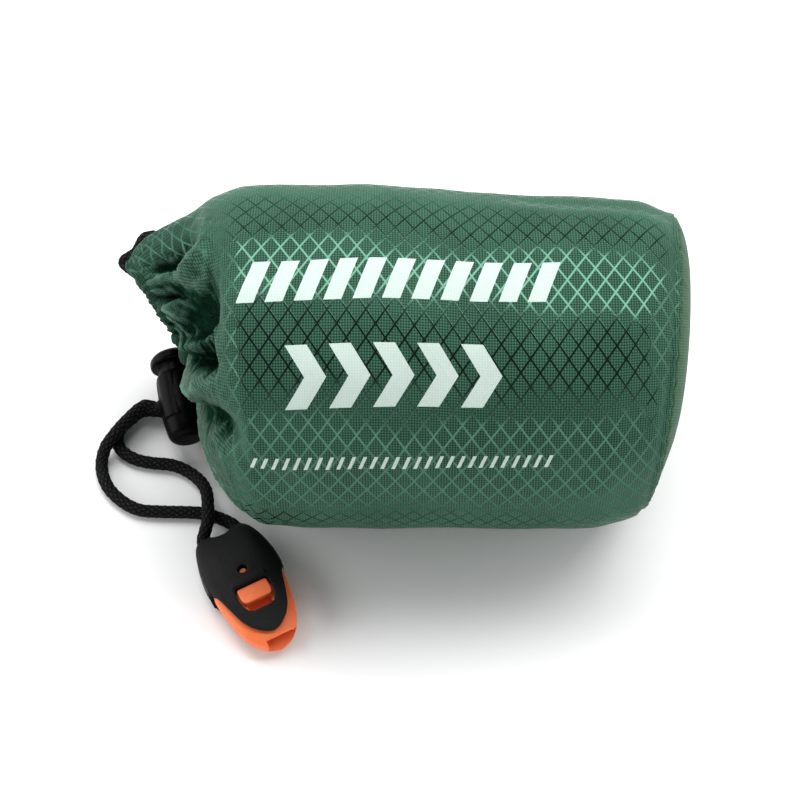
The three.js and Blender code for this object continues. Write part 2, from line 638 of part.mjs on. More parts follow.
function whistleCover() {
  const high = [[0, 6.0], [3, 7.6], [8, 9.4], [14, 10.4], [20, 10.6], [28, 10.2], [36, 9.4]];
  const low = [[0, 0.9], [3, 0.4], [8, 0], [36, 0]];
  const outer = [0, 0.5, 1.6, 3.5, 6, 9, 12, 15, 18, 22, 27, 32, 36].map((y) => {
    const half = y < 18.5 ? readOff(COVER_PLAN, y) : 10.9;
    return [y, half, readOff(low, y), readOff(high, y)];
  });
  let cover = pillow(outer, 32, 0.7).intersect(prism(planOutline(COVER_PLAN), -1, 12));
  const cavity = bodyRows(WHISTLE_GAP);
  cavity[0][0] -= WHISTLE_GAP;
  cover = cover.subtract(pillow(cavity, 28, 0.62));
  cover = cover.subtract(box(-12, 12, 18.4, 40, 1.6, 8.7));
  const w = WHISTLE_WINDOW;
  const window = [[-w.halfWidth, w.start], [w.halfWidth, w.start], [w.halfWidth + 0.3, w.start + 3.6],
    [w.frontHalfWidth + 0.8, w.end - 0.7], [w.frontHalfWidth - 0.6, w.end], [0.6 - w.frontHalfWidth, w.end],
    [-w.frontHalfWidth - 0.8, w.end - 0.7], [-w.halfWidth - 0.3, w.start + 3.6]];
  cover = cover.subtract(prism(window, 5, 12));
  const hole = new THREE.CylinderGeometry(1.05, 1.05, 6, 16);
  hole.rotateX(Math.PI / 2).translate(0, 14.9, 10);
  cover = cover.subtract(solidOf(hole));
  for (const side of [-1, 1]) {
    const lugHole = new THREE.CylinderGeometry(1, 1, LUG_HOLE_DEPTH + 2, 12);
    const radius = CORD_DIAMETER / 2 + CORD_GAP + 0.1;
    lugHole.scale(radius, 1, radius).translate(side * LUG_OFFSET, LUG_HOLE_DEPTH / 2 - 1, 3.1);
    cover = cover.subtract(solidOf(lugHole));
  }
  const arch = new THREE.CylinderGeometry(1, 1, 14, 20);
  arch.rotateX(Math.PI / 2).scale(3.1, 1.5, 1).translate(0, -0.2, 4);
  return geometryOf(cover.subtract(solidOf(arch)));
}

const group = new THREE.Group();

function add(name, geometry, material, frame) {
  const mesh = new THREE.Mesh(geometry, material);
  mesh.name = name;
  if (frame) {
    mesh.applyMatrix4(frame);
  }
  group.add(mesh);
}

add('sack_body', sackBody(), green);
add('end_panel', endPanel(), green);
add('cord_outer', tube(outerPoints, CORD_DIAMETER / 2, CORD_SIDES, 60), cordBlack);
add('cord_inner', tube(innerPoints, CORD_DIAMETER / 2, CORD_SIDES, 60), cordBlack);
add('cord_back', tube(backPoints, CORD_DIAMETER / 2, CORD_SIDES, 12), cordBlack);
add('lock_barrel', lockBarrel(), black, lockFrame);
add('lock_plunger', lockPlunger(), black, lockFrame);
add('whistle_body', whistleBody(), orange, whistleFrame);
add('whistle_cover', whistleCover(), black, whistleFrame);

export default group;
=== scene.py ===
from math import cos, pi, radians, sin, tan

import bpy
import numpy as np
from mathutils import Matrix, Vector


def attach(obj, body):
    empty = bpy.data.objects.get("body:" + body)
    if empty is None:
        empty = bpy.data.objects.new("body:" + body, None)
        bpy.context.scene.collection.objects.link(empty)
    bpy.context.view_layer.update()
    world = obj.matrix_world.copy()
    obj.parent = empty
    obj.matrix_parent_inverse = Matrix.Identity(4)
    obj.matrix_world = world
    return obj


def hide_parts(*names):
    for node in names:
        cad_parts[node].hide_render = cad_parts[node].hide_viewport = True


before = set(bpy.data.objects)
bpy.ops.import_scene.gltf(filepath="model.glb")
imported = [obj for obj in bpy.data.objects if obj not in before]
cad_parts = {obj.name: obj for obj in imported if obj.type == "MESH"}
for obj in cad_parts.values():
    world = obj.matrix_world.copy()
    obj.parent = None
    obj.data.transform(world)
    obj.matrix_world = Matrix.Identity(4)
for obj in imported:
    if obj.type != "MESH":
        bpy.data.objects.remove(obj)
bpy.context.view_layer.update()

bpy.ops.object.select_all(action="DESELECT")
mm = 0.001

# camera: the photograph looks down on the sack at 60 degrees with a long lens
view = {"place": (-0.00133, -0.2767, 0.4982), "tilt": 30, "lens": 90, "sensor": 36}


def addCamera():
    data = bpy.data.cameras.new("camera")
    data.lens = view["lens"]
    data.sensor_width = view["sensor"]
    camera = bpy.data.objects.new("camera", data)
    camera.location = view["place"]
    camera.rotation_euler = (radians(view["tilt"]), 0, 0)
    bpy.context.collection.objects.link(camera)
    bpy.context.scene.camera = camera


# a smooth cubic from start to end, while t goes from 0 to 1
def cubic(t, start, startSlope, end, endSlope):
    leaving = (1 + 2 * t) * (1 - t) ** 2 * start + t * (1 - t) ** 2 * startSlope
    arriving = t * t * (3 - 2 * t) * end + t * t * (t - 1) * endSlope
    return leaving + arriving


# a value read off rows that begin with their position, by a cubic that doesn't overshoot
def readOff(rows, at, column=1):
    xs, ys = (np.array([row[k] for row in rows], float) for k in (0, column))
    secants = np.diff(ys) / np.diff(xs)
    slopes = np.concatenate([secants[:1], np.zeros(len(xs) - 2), secants[-1:]])
    before, after = secants[:-1], secants[1:]
    together = before * after > 0
    total = np.where(together, before + after, 1)
    slopes[1:-1] = np.where(together, 2 * before * after / total, 0)
    at = np.clip(np.asarray(at, float), xs[0], xs[-1])
    i = np.clip(np.searchsorted(xs, at, side="right") - 1, 0, len(xs) - 2)
    span = xs[i + 1] - xs[i]
    return cubic((at - xs[i]) / span, ys[i], span * slopes[i], ys[i + 1], span * slopes[i + 1])


def smoothStep(value, low, high):
    t = np.clip((value - low) / (high - low), 0, 1)
    return t * t * (3 - 2 * t)


def fading(value, low, high):
    return 1 - smoothStep(value, low, high)


# 1 from full to fade, 0 before start and after end
def window(value, start, full, fade, end):
    return smoothStep(value, start, full) * fading(value, fade, end)


def bell(apart, width, power=2):
    return np.exp(-((apart / width) ** power))


def unit(vector):
    return vector / np.linalg.norm(vector)


# how far along a line of points each of them is
def runAlong(line):
    return np.concatenate([[0], np.cumsum(np.linalg.norm(np.diff(line, axis=0), axis=1))])


# one closed mesh from rings of points, with a point that closes each end; rings hold the same count
def closedRings(name, startPoint, rings, endPoint, uvRings=None):
    count, rows = len(rings[0]), len(rings)
    points = np.concatenate([[startPoint], *rings, [endPoint]])
    # a corner is its ring and its column; the two end points stand in rings -1 and rows
    corners = [[(-1, a), (0, a + 1), (0, a)] for a in range(count)]
    for r in range(rows - 1):
        corners += [[(r, a), (r, a + 1), (r + 1, a + 1), (r + 1, a)] for a in range(count)]
    corners += [[(rows - 1, a), (rows - 1, a + 1), (rows, a)] for a in range(count)]
    last = len(points) - 1
    faces = [[min(max(1 + r * count + c % count, 0), last) for r, c in face] for face in corners]
    triangles = points[np.array([face[:3] for face in faces])]
    volume = np.einsum("ij,ij->i", triangles[:, 0], np.cross(triangles[:, 1], triangles[:, 2])).sum()
    if volume < 0:
        faces, corners = ([face[::-1] for face in each] for each in (faces, corners))
    mesh = bpy.data.meshes.new(name)
    mesh.from_pydata((points * mm).tolist(), [], faces)
    mesh.polygons.foreach_set("use_smooth", [True] * len(faces))
    piece = bpy.data.objects.new(name, mesh)
    bpy.context.collection.objects.link(piece)
    if uvRings is not None:
        # each ring of uv has one more column, so that the pattern closes without a jump
        uv = mesh.uv_layers.new(name="cloth")
        table = np.array(uvRings, np.float32)
        where = np.array([(min(max(r, 0), rows - 1), c) for face in corners for r, c in face])
        uv.data.foreach_set("uv", table[where[:, 0], where[:, 1]].ravel())
    mesh.update()
    return piece


# materials: the node tree in work, and small helpers that keep it readable
inWork = {}


def startMaterial(name, roughness, specular):
    material = bpy.data.materials.new(name)
    material.use_nodes = True
    inWork["tree"] = material.node_tree
    shader = material.node_tree.nodes["Principled BSDF"]
    fillIn(shader, {"Roughness": roughness, "Specular IOR Level": specular})
    return material, shader


# gives a node's sockets their values, or plugs other nodes into them
def fillIn(node, inputs):
    for key, value in inputs.items():
        if isinstance(value, bpy.types.NodeSocket):
            inWork["tree"].links.new(value, node.inputs[key])
        else:
            node.inputs[key].default_value = value


def addNode(kind, inputs={}, **settings):
    node = inWork["tree"].nodes.new(kind)
    for key, value in settings.items():
        setattr(node, key, value)
    fillIn(node, inputs)
    return node


def calc(operation, *values):
    return addNode("ShaderNodeMath", dict(enumerate(values)), operation=operation).outputs[0]


def ramp(value, low, high, toLow=0.0, toHigh=1.0):
    inputs = {"Value": value, "From Min": low, "From Max": high, "To Min": toLow, "To Max": toHigh}
    return addNode("ShaderNodeMapRange", inputs, interpolation_type="SMOOTHSTEP").outputs[0]


def mixColor(share, first, second):
    inputs = {0: share, 6: first, 7: second}
    return addNode("ShaderNodeMix", inputs, data_type="RGBA", clamp_factor=True).outputs[2]


def blend(share, first, second):
    return addNode("ShaderNodeMix", {0: share, 2: first, 3: second}, data_type="FLOAT").outputs[0]


def noise(scale, detail, output="Fac"):
    place = addNode("ShaderNodeTexCoord").outputs["Object"]
    inputs = {"Vector": place, "Scale": scale, "Detail": detail}
    return addNode("ShaderNodeTexNoise", inputs).outputs[output]


def bump(height, distance, strength, **under):
    inputs = {"Height": height, "Distance": distance, "Strength": strength, **under}
    return addNode("ShaderNodeBump", inputs).outputs[0]


# a value kept at each point of a piece, read by its material under the same name
def keepValues(piece, name, values):
    attribute = piece.data.attributes.new(name, "FLOAT", "POINT")
    attribute.data.foreach_set("value", np.asarray(values, np.float32))


def keptValue(name):
    return addNode("ShaderNodeAttribute", attribute_name=name).outputs["Fac"]


# drawcord: 3.5 mm braid, both ends through the lock and round the loop to the whistle
# in each dictionary a noise is its scale and detail, and a bump its distance in metres and its strength
cord = {
    "diameter": 3.5, "strandOffset": 1.85, "sides": 32, "step": 0.3, "curveSteps": 24,
    "yarns": 8, "pitch": 2.3, "relief": 0.32, "yarnRound": 0.7, "yarnBelow": 0.55, "middleHeight": 0.75,
    "endHeight": 0.5, "roughness": 0.75, "specular": 0.1, "crestHighlightEnds": (0.85, 1.55),
    # the braid goes from the dark colour between its yarns to the light one on their crests: painted shade
    # and painted highlight
    "dark": (0.0005, 0.0005, 0.0006, 1), "light": (0.034, 0.034, 0.036, 1),
    "fluff": {"noise": (2200, 3), "share": 0.7, "bump": (0.0003, 0.8)},
}
# a finish is the size of its small faces and how often they are smoothed
lock = {
    "centre": (-63.3, 6.6, 9.2), "yaw": 12, "pitch": 4, "holeTilt": 38, "holeZ": -0.5,
    "strandStations": (9.5, 5.5, 0, -5, -7.5),
    "travel": 2.6, "clearance": 0.35, "sides": 96, "cutMargin": 2,
    "barrel": {
        "bottom": -13.7, "top": 6.6, "radius": 6.3, "bore": 5.3, "boreEdge": 0.1, "floor": -10.6,
        "floorRing": 1, "topMargin": 1, "finish": (0.16, 4),
        "foot": [
            (-3.4, 0), (-2.6, 0.12), (-1.9, 0.5), (-1.4, 1), (-1, 1.7), (-0.7, 3.2), (-0.4, 5.5),
            (-0.1, 8), (0, 12),
        ],
        "rim": [(-0.1, -3), (-0.2, -1.4), (-0.4, -0.5), (-0.65, -0.1), (-0.85, 0)],
        "grip": {"offset": 2.45, "radius": 4.2, "low": -7.7, "high": 5.7},
    },
    "plunger": {
        "bottom": -5.0, "head": 9.6, "top": 13.7, "stem": 5.0, "headRadius": 6.9, "bevel": 0.5,
        "finish": (0.17, 3),
        "underHead": [(-0.6, 0), (-0.15, 0.25), (0, 0.6)],
        "dome": [
            (0, -2.3), (-0.15, -1.8), (-0.4, -1.4), (-0.85, -0.9), (-1.4, -0.6), (-2.2, -0.3), (-3.2, -0.1),
            (-5, 0),
        ],
    },
}
whistle = {
    "base": (-50.7, -34.2), "heading": 28.2, "gap": 0.3, "roundness": 0.55, "cornerSteps": 7,
    "lugOffset": 5.0, "lugHeight": 3.1, "lugStations": (-0.6, 2, 4.6),
}

outerRoute = [
    (-73.6, 5.4, 6.35), (-78.6, 0.8, 5.85), (-81.9, -3.9, 5.75), (-84.1, -6.6, 4.1), (-85.2, -9.9, 2.2),
    (-84.9, -13.6, 1.8), (-82.9, -18.3, 1.8), (-80.1, -21.5, 1.8), (-76.8, -24.0, 1.8), (-73.2, -25.5, 1.8),
    (-68.0, -25.9, 1.8), (-61.0, -26.1, 1.8), (-56.5, -26.4, 1.8), (-52.6, -27.5, 1.8), (-49.2, -29.2, 2.4),
]
innerRoute = [
    (-74.9, 6.0, 2.0), (-78.4, 3.2, 1.8), (-80.6, 0.5, 1.8), (-81.5, -2.3, 1.8), (-80.8, -5.3, 1.8),
    (-78.9, -7.6, 1.8), (-75.6, -9.5, 1.8), (-71.0, -10.6, 1.8), (-65.7, -11.2, 1.8), (-61.9, -12.7, 1.8),
    (-58.0, -15.8, 2.4), (-55.3, -20.4, 4.2), (-54.3, -26.2, 5.7), (-54.2, -30.3, 5.1),
]


# lock frame: Z along the barrel to the button, X along the cord hole to the cloth
def makeLockFrame():
    yaw, pitch, tilt = (radians(lock[key]) for key in ("yaw", "pitch", "holeTilt"))
    level = np.array([cos(yaw), sin(yaw), 0])
    axis = np.array([-sin(yaw) * cos(pitch), cos(yaw) * cos(pitch), sin(pitch)])
    hole = level * cos(tilt) + np.cross(level, axis) * sin(tilt)
    return np.column_stack([hole, np.cross(axis, hole), axis]), np.array(lock["centre"])


# whistle frame: X across it, Y from the cord end to the mouthpiece, Z up
def makeWhistleFrame():
    heading = radians(whistle["heading"])
    along = np.array([sin(heading), -cos(heading), 0])
    up = np.array([0, 0, 1.0])
    return np.column_stack([np.cross(along, up), along, up]), np.array([*whistle["base"], 0.0])


lockFrame = makeLockFrame()
whistleFrame = makeWhistleFrame()


def inFrame(holder, points):
    turn, place = holder
    return np.asarray(points, float) @ turn.T + place


# a smooth line through the points, resampled at an even step
def smoothLine(points, step):
    p = np.asarray(points, float)
    p = np.concatenate([[2 * p[0] - p[1]], p, [2 * p[-1] - p[-2]]])
    t = np.linspace(0, 1, cord["curveSteps"], endpoint=False)[:, None]
    line = []
    for i in range(1, len(p) - 2):
        before, within, after = (np.sqrt(np.linalg.norm(p[i + k] - p[i + k - 1])) for k in (0, 1, 2))
        straight = (p[i + 1] - p[i]) / within
        start = (p[i] - p[i - 1]) / before - (p[i + 1] - p[i - 1]) / (before + within) + straight
        end = straight - (p[i + 2] - p[i]) / (within + after) + (p[i + 2] - p[i + 1]) / after
        line.append(cubic(t, p[i], start * within, p[i + 1], end * within))
    line = np.concatenate([*line, [p[-2]]])
    run = runAlong(line)
    even = np.linspace(0, run[-1], max(3, round(run[-1] / step) + 1))
    return np.column_stack([np.interp(even, run, line[:, k]) for k in range(3)])


# a braided tube along a line: two sets of yarns that wind opposite ways, over and under each other
def braidedTube(name, line):
    tangents = np.gradient(line, axis=0)
    tangents /= np.linalg.norm(tangents, axis=1)[:, None]
    normal = np.cross(tangents[0], (0, 0, 1))
    turn = np.linspace(0, 2 * pi, cord["sides"], endpoint=False)
    yarnsRound = cord["yarns"] * turn / (2 * pi)
    rings, heights = [], []
    for centre, tangent, along in zip(line, tangents, runAlong(line)):
        normal = unit(normal - tangent * np.dot(normal, tangent))
        across = np.cross(tangent, normal)
        a, b = yarnsRound + along / cord["pitch"], yarnsRound - along / cord["pitch"]
        over = (np.floor(a) + np.floor(b)) % 2 == 0
        crossA, crossB = np.sin(pi * (a % 1)), np.sin(pi * (b % 1))
        upper, lower = np.where(over, crossA, crossB), np.where(over, crossB, crossA)
        height = upper ** cord["yarnRound"] * (cord["yarnBelow"] + (1 - cord["yarnBelow"]) * lower)
        radius = cord["diameter"] / 2 + cord["relief"] * (height - cord["middleHeight"])
        outward = np.cos(turn)[:, None] * normal + np.sin(turn)[:, None] * across
        rings.append(centre + radius[:, None] * outward)
        heights.append(height)
    piece = closedRings(name, line[0], rings, line[-1])
    ends = [cord["endHeight"]]
    keepValues(piece, "yarnHeight", np.concatenate([ends, *heights, ends]))
    piece.data.materials.append(cordBraid)
    return piece


def strandLine(side, route, lug):
    through = [(x, side * cord["strandOffset"], lock["holeZ"]) for x in lock["strandStations"]]
    intoLug = [(lug, y, whistle["lugHeight"]) for y in whistle["lugStations"]]
    points = [*inFrame(lockFrame, through), *np.array(route), *inFrame(whistleFrame, intoLug)]
    return smoothLine(points, cord["step"])


def makeCordMaterial():
    material, shader = startMaterial("cordBraid", cord["roughness"], cord["specular"])
    look = cord["fluff"]
    fluff = noise(*look["noise"])
    # higher yarn is painted lighter: painted highlight on the crests, painted shade between them
    raised = calc("MULTIPLY_ADD", fluff, look["share"], keptValue("yarnHeight"))
    color = mixColor(ramp(raised, *cord["crestHighlightEnds"]), cord["dark"], cord["light"])
    fillIn(shader, {"Base Color": color, "Normal": bump(fluff, *look["bump"])})
    return material


def makeCords():
    pieces = []
    for name, side, route in (("cordOuter", -1, outerRoute), ("cordInner", 1, innerRoute)):
        line = strandLine(side, route, side * whistle["lugOffset"])
        pieces.append((braidedTube(name, line), line))
    return pieces


def cordLength(line):
    return float(runAlong(line)[-1]) * mm


addCamera()
cordBraid = makeCordMaterial()
(cordOuter, outerLine), (cordInner, innerLine) = makeCords()
print("cords:", round(cordLength(outerLine), 4), round(cordLength(innerLine), 4))

# sack: its sections, folds and the lines of its cloth, as in the part
sack = {
    "faceTilt": 30, "columns": 360, "girth": 287, "gatheredRadius": 34,
    "neckStart": -66.9, "neckEnd": -41, "neckStep": 0.42, "barrelStep": 1.0, "lastRing": 64.6,
    "baseX": 67.1, "baseLean": 3.4, "leanFrom": 30, "panelThickness": 1.2, "seamGap": 0.45,
    "bulge": {"edge": 4.4, "edgePower": 8, "crown": 1.2},
    "dent": {"depth": 2.8, "share": 0.9, "spread": 0.26, "angle": -80, "halfWidth": 36},
    "foldSlant": 40, "slantEnds": (-52, -38), "foldWidening": 0.4,
    "lobe": (50, 58, 94, 108), "lobeCalm": 0.85,
    "mouthHole": 7, "mouthDepth": 13, "mouthEdge": 1,
    "pitRings": 22, "pitSunk": 0.2, "pitSmooth": 5, "pitPoint": 0.4,
    "hemRoll": 2.2, "hemPush": [(0, -0.2), (0.3, -0.5), (0.62, -0.8), (1, -0.2)],
    "hemShares": (0.12, 0.82, 9), "hemFolds": [(0, 0.35), (1, 0.8)], "hemFine": 0.6,
    "rollTurn": (180, 12, 15), "rollFine": 0.9,
}
# x, y, z of the middle, radius up the face, radius towards the face, lean, how far the face side is set back
sections = [
    (-66.9, 16.1, 38.1, 17.0, 17.2, 31.0, 3.2), (-64.6, 14.3, 38.7, 21.8, 21.8, 19.5, 2.3),
    (-61.4, 11.2, 39.3, 26.5, 26.5, 12.0, 1.2), (-57.6, 7.5, 40.0, 31.3, 31.0, 8.0, 0.4),
    (-52.7, 3.5, 40.6, 36.8, 36.8, 5.6, 0), (-47.4, 1.4, 41.8, 41.5, 41.5, 4.6, 0),
    (-38.9, 0.1, 42.2, 45.2, 45.2, 3.0, 0), (-28.0, 0.0, 42.4, 45.5, 45.5, 1.0, 0),
    (-12.0, 0.0, 42.6, 45.7, 45.7, 0, 0), (6.7, -0.5, 42.0, 45.0, 45.0, 0, 0),
    (20.0, -1.0, 41.3, 44.4, 44.3, 0, 0), (36.0, -1.2, 41.0, 44.4, 44.0, 0, 0),
    (52.0, -1.0, 40.6, 44.0, 43.4, 0, 0), (59.0, -0.3, 40.3, 43.2, 42.4, 0, 0),
    (64.2, -0.2, 40.2, 41.6, 40.4, 0, 0), (67.1, -0.2, 40.2, 39.6, 38.4, 0, 0),
]
# name: half width in degrees, then (x, angle, depth); a ridge has a negative depth
folds = {
    "upper hollow": (9, [(-67, 41, 1.4), (-64, 39, 4.2), (-60, 39, 5), (-54, 43, 3.5), (-49, 46, 0)]),
    "upper flap": (6, [(-67, 30, -0.4), (-62, 31, -1.5), (-56, 38, -1), (-52, 40, 0)]),
    "deep slit": (6, [(-67, 13, 2.2), (-64, 16, 6.3), (-60, 22, 6), (-56, 26, 2), (-53, 28, 0)]),
    "long ridge": (8, [(-67, 2, -0.6), (-64, 8, -2.6), (-60, 19, -3), (-53, 36, -2.5), (-46, 43, 0)]),
    "pocket": (12, [(-67, -20, 1.4), (-64, -13, 4.4), (-57, 3, 7), (-52, 9, 8), (-48, 13, 4), (-44, 15, 0)]),
    "stitched ridge": (6, [(-67, -35, -0.8), (-62, -17, -3), (-54, 1, -3), (-48, 6, -1), (-45, 7, 0)]),
    "line under it": (5.5, [(-67, -44, 1.8), (-62, -25, 5), (-54, -9, 6.5), (-50, -5, 7), (-47, -4, 0)]),
    "front lobe": (8, [(-67, -62, -0.4), (-62, -40, -2), (-54, -17, -1.5), (-48, -13, 0)]),
    "low valley": (
        8, [(-67, -84, 1.6), (-63, -68, 4), (-57, -42, 5), (-51, -30, 6.5), (-44, -29, 3), (-40, -30, 0)]
    ),
    "dent of the lock": (17, [(-67, -122, 2.4), (-62, -122, 2.8), (-55, -118, 2.4), (-48, -115, 0)]),
    "underside pleat": (11, [(-67, -158, 2.5), (-62, -158, 5.5), (-54, -154, 2), (-48, -152, 0)]),
    "low back pleat": (8, [(-67, 178, 1.6), (-62, 176, 5), (-52, 172, 4), (-44, 170, 0)]),
    "back pleat": (8, [(-67, 147, 1.6), (-62, 146, 5.5), (-52, 143, 4), (-43, 142, 0)]),
    "upper back pleat": (7, [(-67, 116, 1.4), (-62, 118, 3.5), (-54, 120, 2.5), (-46, 120, 0)]),
    "crown pleat": (6, [(-67, 74, 0.8), (-64, 72, 0.8), (-58, 72, 0)]),
    "slack top": (7, [(22, 74, 0), (34, 71, 0.9), (54, 68, 1.2), (64, 66, 0.8), (68, 65, 0.2)]),
    "low corner": (12, [(50, -54, 0), (60, -54, 0.4), (65, -54, 0.6), (68, -54, 0.2)]),
    "upper corner": (22, [(50, 88, 0), (59, 88, 0.6), (64, 88, 1.3), (68, 88, 1.3)]),
}
# finer creases that only show close up, in the same form, without names
creases = [
    (3, [(-66, 60, 0), (-61, 60, 0.5), (-55, 63, 0.6), (-49, 66, 0)]),
    (3, [(-66, 42, 0), (-63, 41, 1.2), (-58, 42, 1.6), (-52, 46, 0)]),
    (10, [(-66, 47, 0.6), (-63, 48, 2.6), (-58, 49, 3.0), (-53, 52, 1.6), (-49, 54, 0)]),
    (2.4, [(-66, 33, 0), (-62, 34, -0.8), (-57, 38, -0.8), (-52, 42, 0)]),
    (4, [(-67, 12, 0.6), (-64, 14, 3.0), (-60, 19, 3.4), (-57, 23, 2.0), (-54, 27, 0)]),
    (3, [(-65, 6, 0), (-60, 18, -0.9), (-54, 33, -0.9), (-47, 42, 0)]),
    (3, [(-60, 8, 0), (-55, 24, 0.7), (-50, 34, 0.6), (-45, 42, 0)]),
    (5, [(-64, -14, 0), (-58, -5, 1.6), (-53, 5, 2.0), (-49, 10, 1.2), (-46, 12, 0)]),
    (10, [(-62, 0, 0), (-57, 14, 2.2), (-52, 21, 3.0), (-48, 24, 2.0), (-44, 26, 0)]),
    (2.4, [(-58, -8, 0), (-55, -4, 0.8), (-50, 2, 0.8), (-47, 6, 0)]),
    (2.2, [(-60, -22, 0), (-56, -14, 0.7), (-51, -10, 0.5), (-48, -8, 0)]),
    (2.6, [(-64, -24, 0), (-60, -11, -0.8), (-54, 1, -0.9), (-48, 6, 0)]),
    (2.4, [(-63, -30, 0), (-58, -15, 2.0), (-52, -7, 2.8), (-48, -5, 1.6), (-45, -4, 0)]),
    (2.6, [(-58, -36, 0), (-54, -26, 0.9), (-50, -20, 0.7), (-46, -17, 0)]),
    (4.5, [(-62, -66, 0), (-57, -42, 1.0), (-51, -31, 0.8), (-45, -30, 0)]),
    (3, [(-56, -32, 0), (-51, -22, -0.8), (-46, -21, -0.6), (-42, -22, 0)]),
    (4, [(-49, 30, 0), (-44, 28, 0.6), (-38, 26, 0.5), (-30, 24, 0)]),
    (4, [(-44, -38, 0), (-40, -40, 0.9), (-34, -43, 0.6), (-26, -46, 0)]),
    (5, [(-50, -70, 0), (-44, -72, 0.9), (-36, -76, 1.0), (-26, -80, 0)]),
    (4, [(-48, -84, 0), (-42, -86, 0.8), (-34, -88, 0.5), (-28, -90, 0)]),
]
# angles round the sack that lie on one line of the cloth: at the mouth, on the barrel
clothLines = [
    (-158, -152), (-122, -115), (-98, -40), (-82, -18), (-60, -5), (-46, 6), (-28, 15), (0, 36), (20, 46),
    (35, 57), (92, 80), (104, 95), (112, 112), (122, 124), (147, 142), (178, 171), (202, 208),
]
clothProgress = [(-71, 0), (-65, 0.16), (-60, 0.42), (-54, 0.76), (-48, 0.95), (-42, 1)]
lineProgress = [(-71, 0), (-65.5, 0.28), (-61, 0.58), (-54, 0.9), (-46, 1)]
# fine relief: a height and its waves, which are multiplied; a wave is (round the sack, along it, start)
relief = {
    "hem": [(0.3, (37, 0, 0.6)), (0.24, (29, 0.25, 2.1)), (0.2, (53, 0, 0.9))],
    "neck": [(0.16, (19, 0.9, 0), (7, 0.8, 0)), (0.1, (34, -1.4, 1))],
    "barrel": [
        (0.22, (3, 0.045, 0.4), (2, 0.07, 0)), (0.12, (7, -0.11, 0)),
        (0.17, (10, 0.08, 1.1), (-3, 0.15, 0.5)), (0.1, (14, -0.12, 0.3), (4, 0.23, 0)),
    ],
    "pit": [(0.25, (17, 0.3, 0)), (0.2, (29, 0, 1))],
    "baseSeam": [(0.6, (61, 0, 0)), (0.4, (83, 0, 1.3)), (0.5, (37, 0, 0.4))],
}
# crests of the neck: height, wave, how far another wave bends them, and that wave
neckCrests = [
    (0.5, (9, 0.42, 0), 1.1, (5, -0.3, 0)), (0.4, (13, -0.5, 2), 0.9, (3, 0.5, 0)),
    (0.34, (21, 0.9, 0), 1.4, (8, -0.5, 0)), (0.26, (27, -1.2, 1), 1.2, (5, 0.9, 0)),
]
# puckers of the stitched ridge, every so many millimetres
pucker = {"height": 1.5, "every": 2.4, "bend": 0.7, "bendWave": 1.7, "slant": 0.09, "halfWidth": 6.5}
# small puckers along the base seam
seamPucker = {"height": 0.22, "reach": 3.2}
# stretches of the sack's length over which a kind of relief or shading comes or goes
stretches = {
    "hem": (-67, -55), "neck": (-52, -40), "barrel": (-46, -34, 56, 66), "stitches": (-65, -61, -49, -46),
    "frontOfNeck": (-50, -46), "nearSeam": (62.5, 65),
    "fineShade": (-50, -44), "lobeShade": (-58, -48), "gathered": (-50, -38),
}
# painted shade in the cloth's folds and painted highlight on its ridges, by their depth; also painted shade
# from the fine crumples, on the upper lobe and inside the mouth
shading = {"fine": 5.5, "deep": (0.8, 6), "raised": (0.4, 3.5), "lobe": 0.35, "mouth": 0.5, "lobeFlat": 0.9}
# where the grid hardly shows: the shares, and where the front of the neck and the pulled shoulder lie
hidden = {
    "tight": (1.7, 3.2),
    "frontAngles": (-85, -60, 46, 54),
    "shoulder": {"angle": 12, "spread": 42, "power": 4, "x": -46, "reach": 3.2},
    "shares": {"front": 0.88, "shoulder": 0.95, "seam": 0.4},
    "nearMouth": [(0.2, -54, -46), (0.3, -66, -60)],
}

faceTilt = radians(sack["faceTilt"])
towardsFace = np.array([0, -sin(faceTilt), cos(faceTilt)])
upTheFace = np.array([0, cos(faceTilt), sin(faceTilt)])
alongSack = np.array([1.0, 0, 0])


def anglesAt(x):
    rows = [((mouth + barrel) / 2, mouth, barrel) for mouth, barrel in clothLines]
    at = rows[0][0] + 360 * np.arange(sack["columns"]) / sack["columns"]
    progress = readOff(clothProgress, x)
    return readOff(rows, at, 1) * (1 - progress) + readOff(rows, at, 2) * progress


def apartFrom(angles, angle):
    apart = angles - angle
    return apart - 360 * np.round(apart / 360)


def foldDepth(rows, x, angles):
    widening = 1 + sack["foldWidening"] * (1 - readOff(lineProgress, x))
    total = np.zeros(len(angles))
    for width, path in rows:
        start, end = path[0][0], path[-1][0]
        if x > end or (x < start and start > sack["neckStart"]):
            continue
        total += readOff(path, x, 2) * bell(apartFrom(angles, readOff(path, x)), width * widening)
    return total


def phase(wave, turn, x):
    return wave[0] * turn + wave[1] * x + wave[2]


def summedWaves(rows, turn, x=0.0):
    total = 0
    for height, *waves in rows:
        total = total + height * np.prod([np.sin(phase(wave, turn, x)) for wave in waves], axis=0)
    return total


# sharp crests with soft hollows between them, zero on average
def crest(angle):
    return (1 - np.abs(np.sin(angle))) ** 2 - 0.23


# the upper lobe of the neck lies smooth
def upperLobe(angles):
    return window(apartFrom(angles, 0), *sack["lobe"])


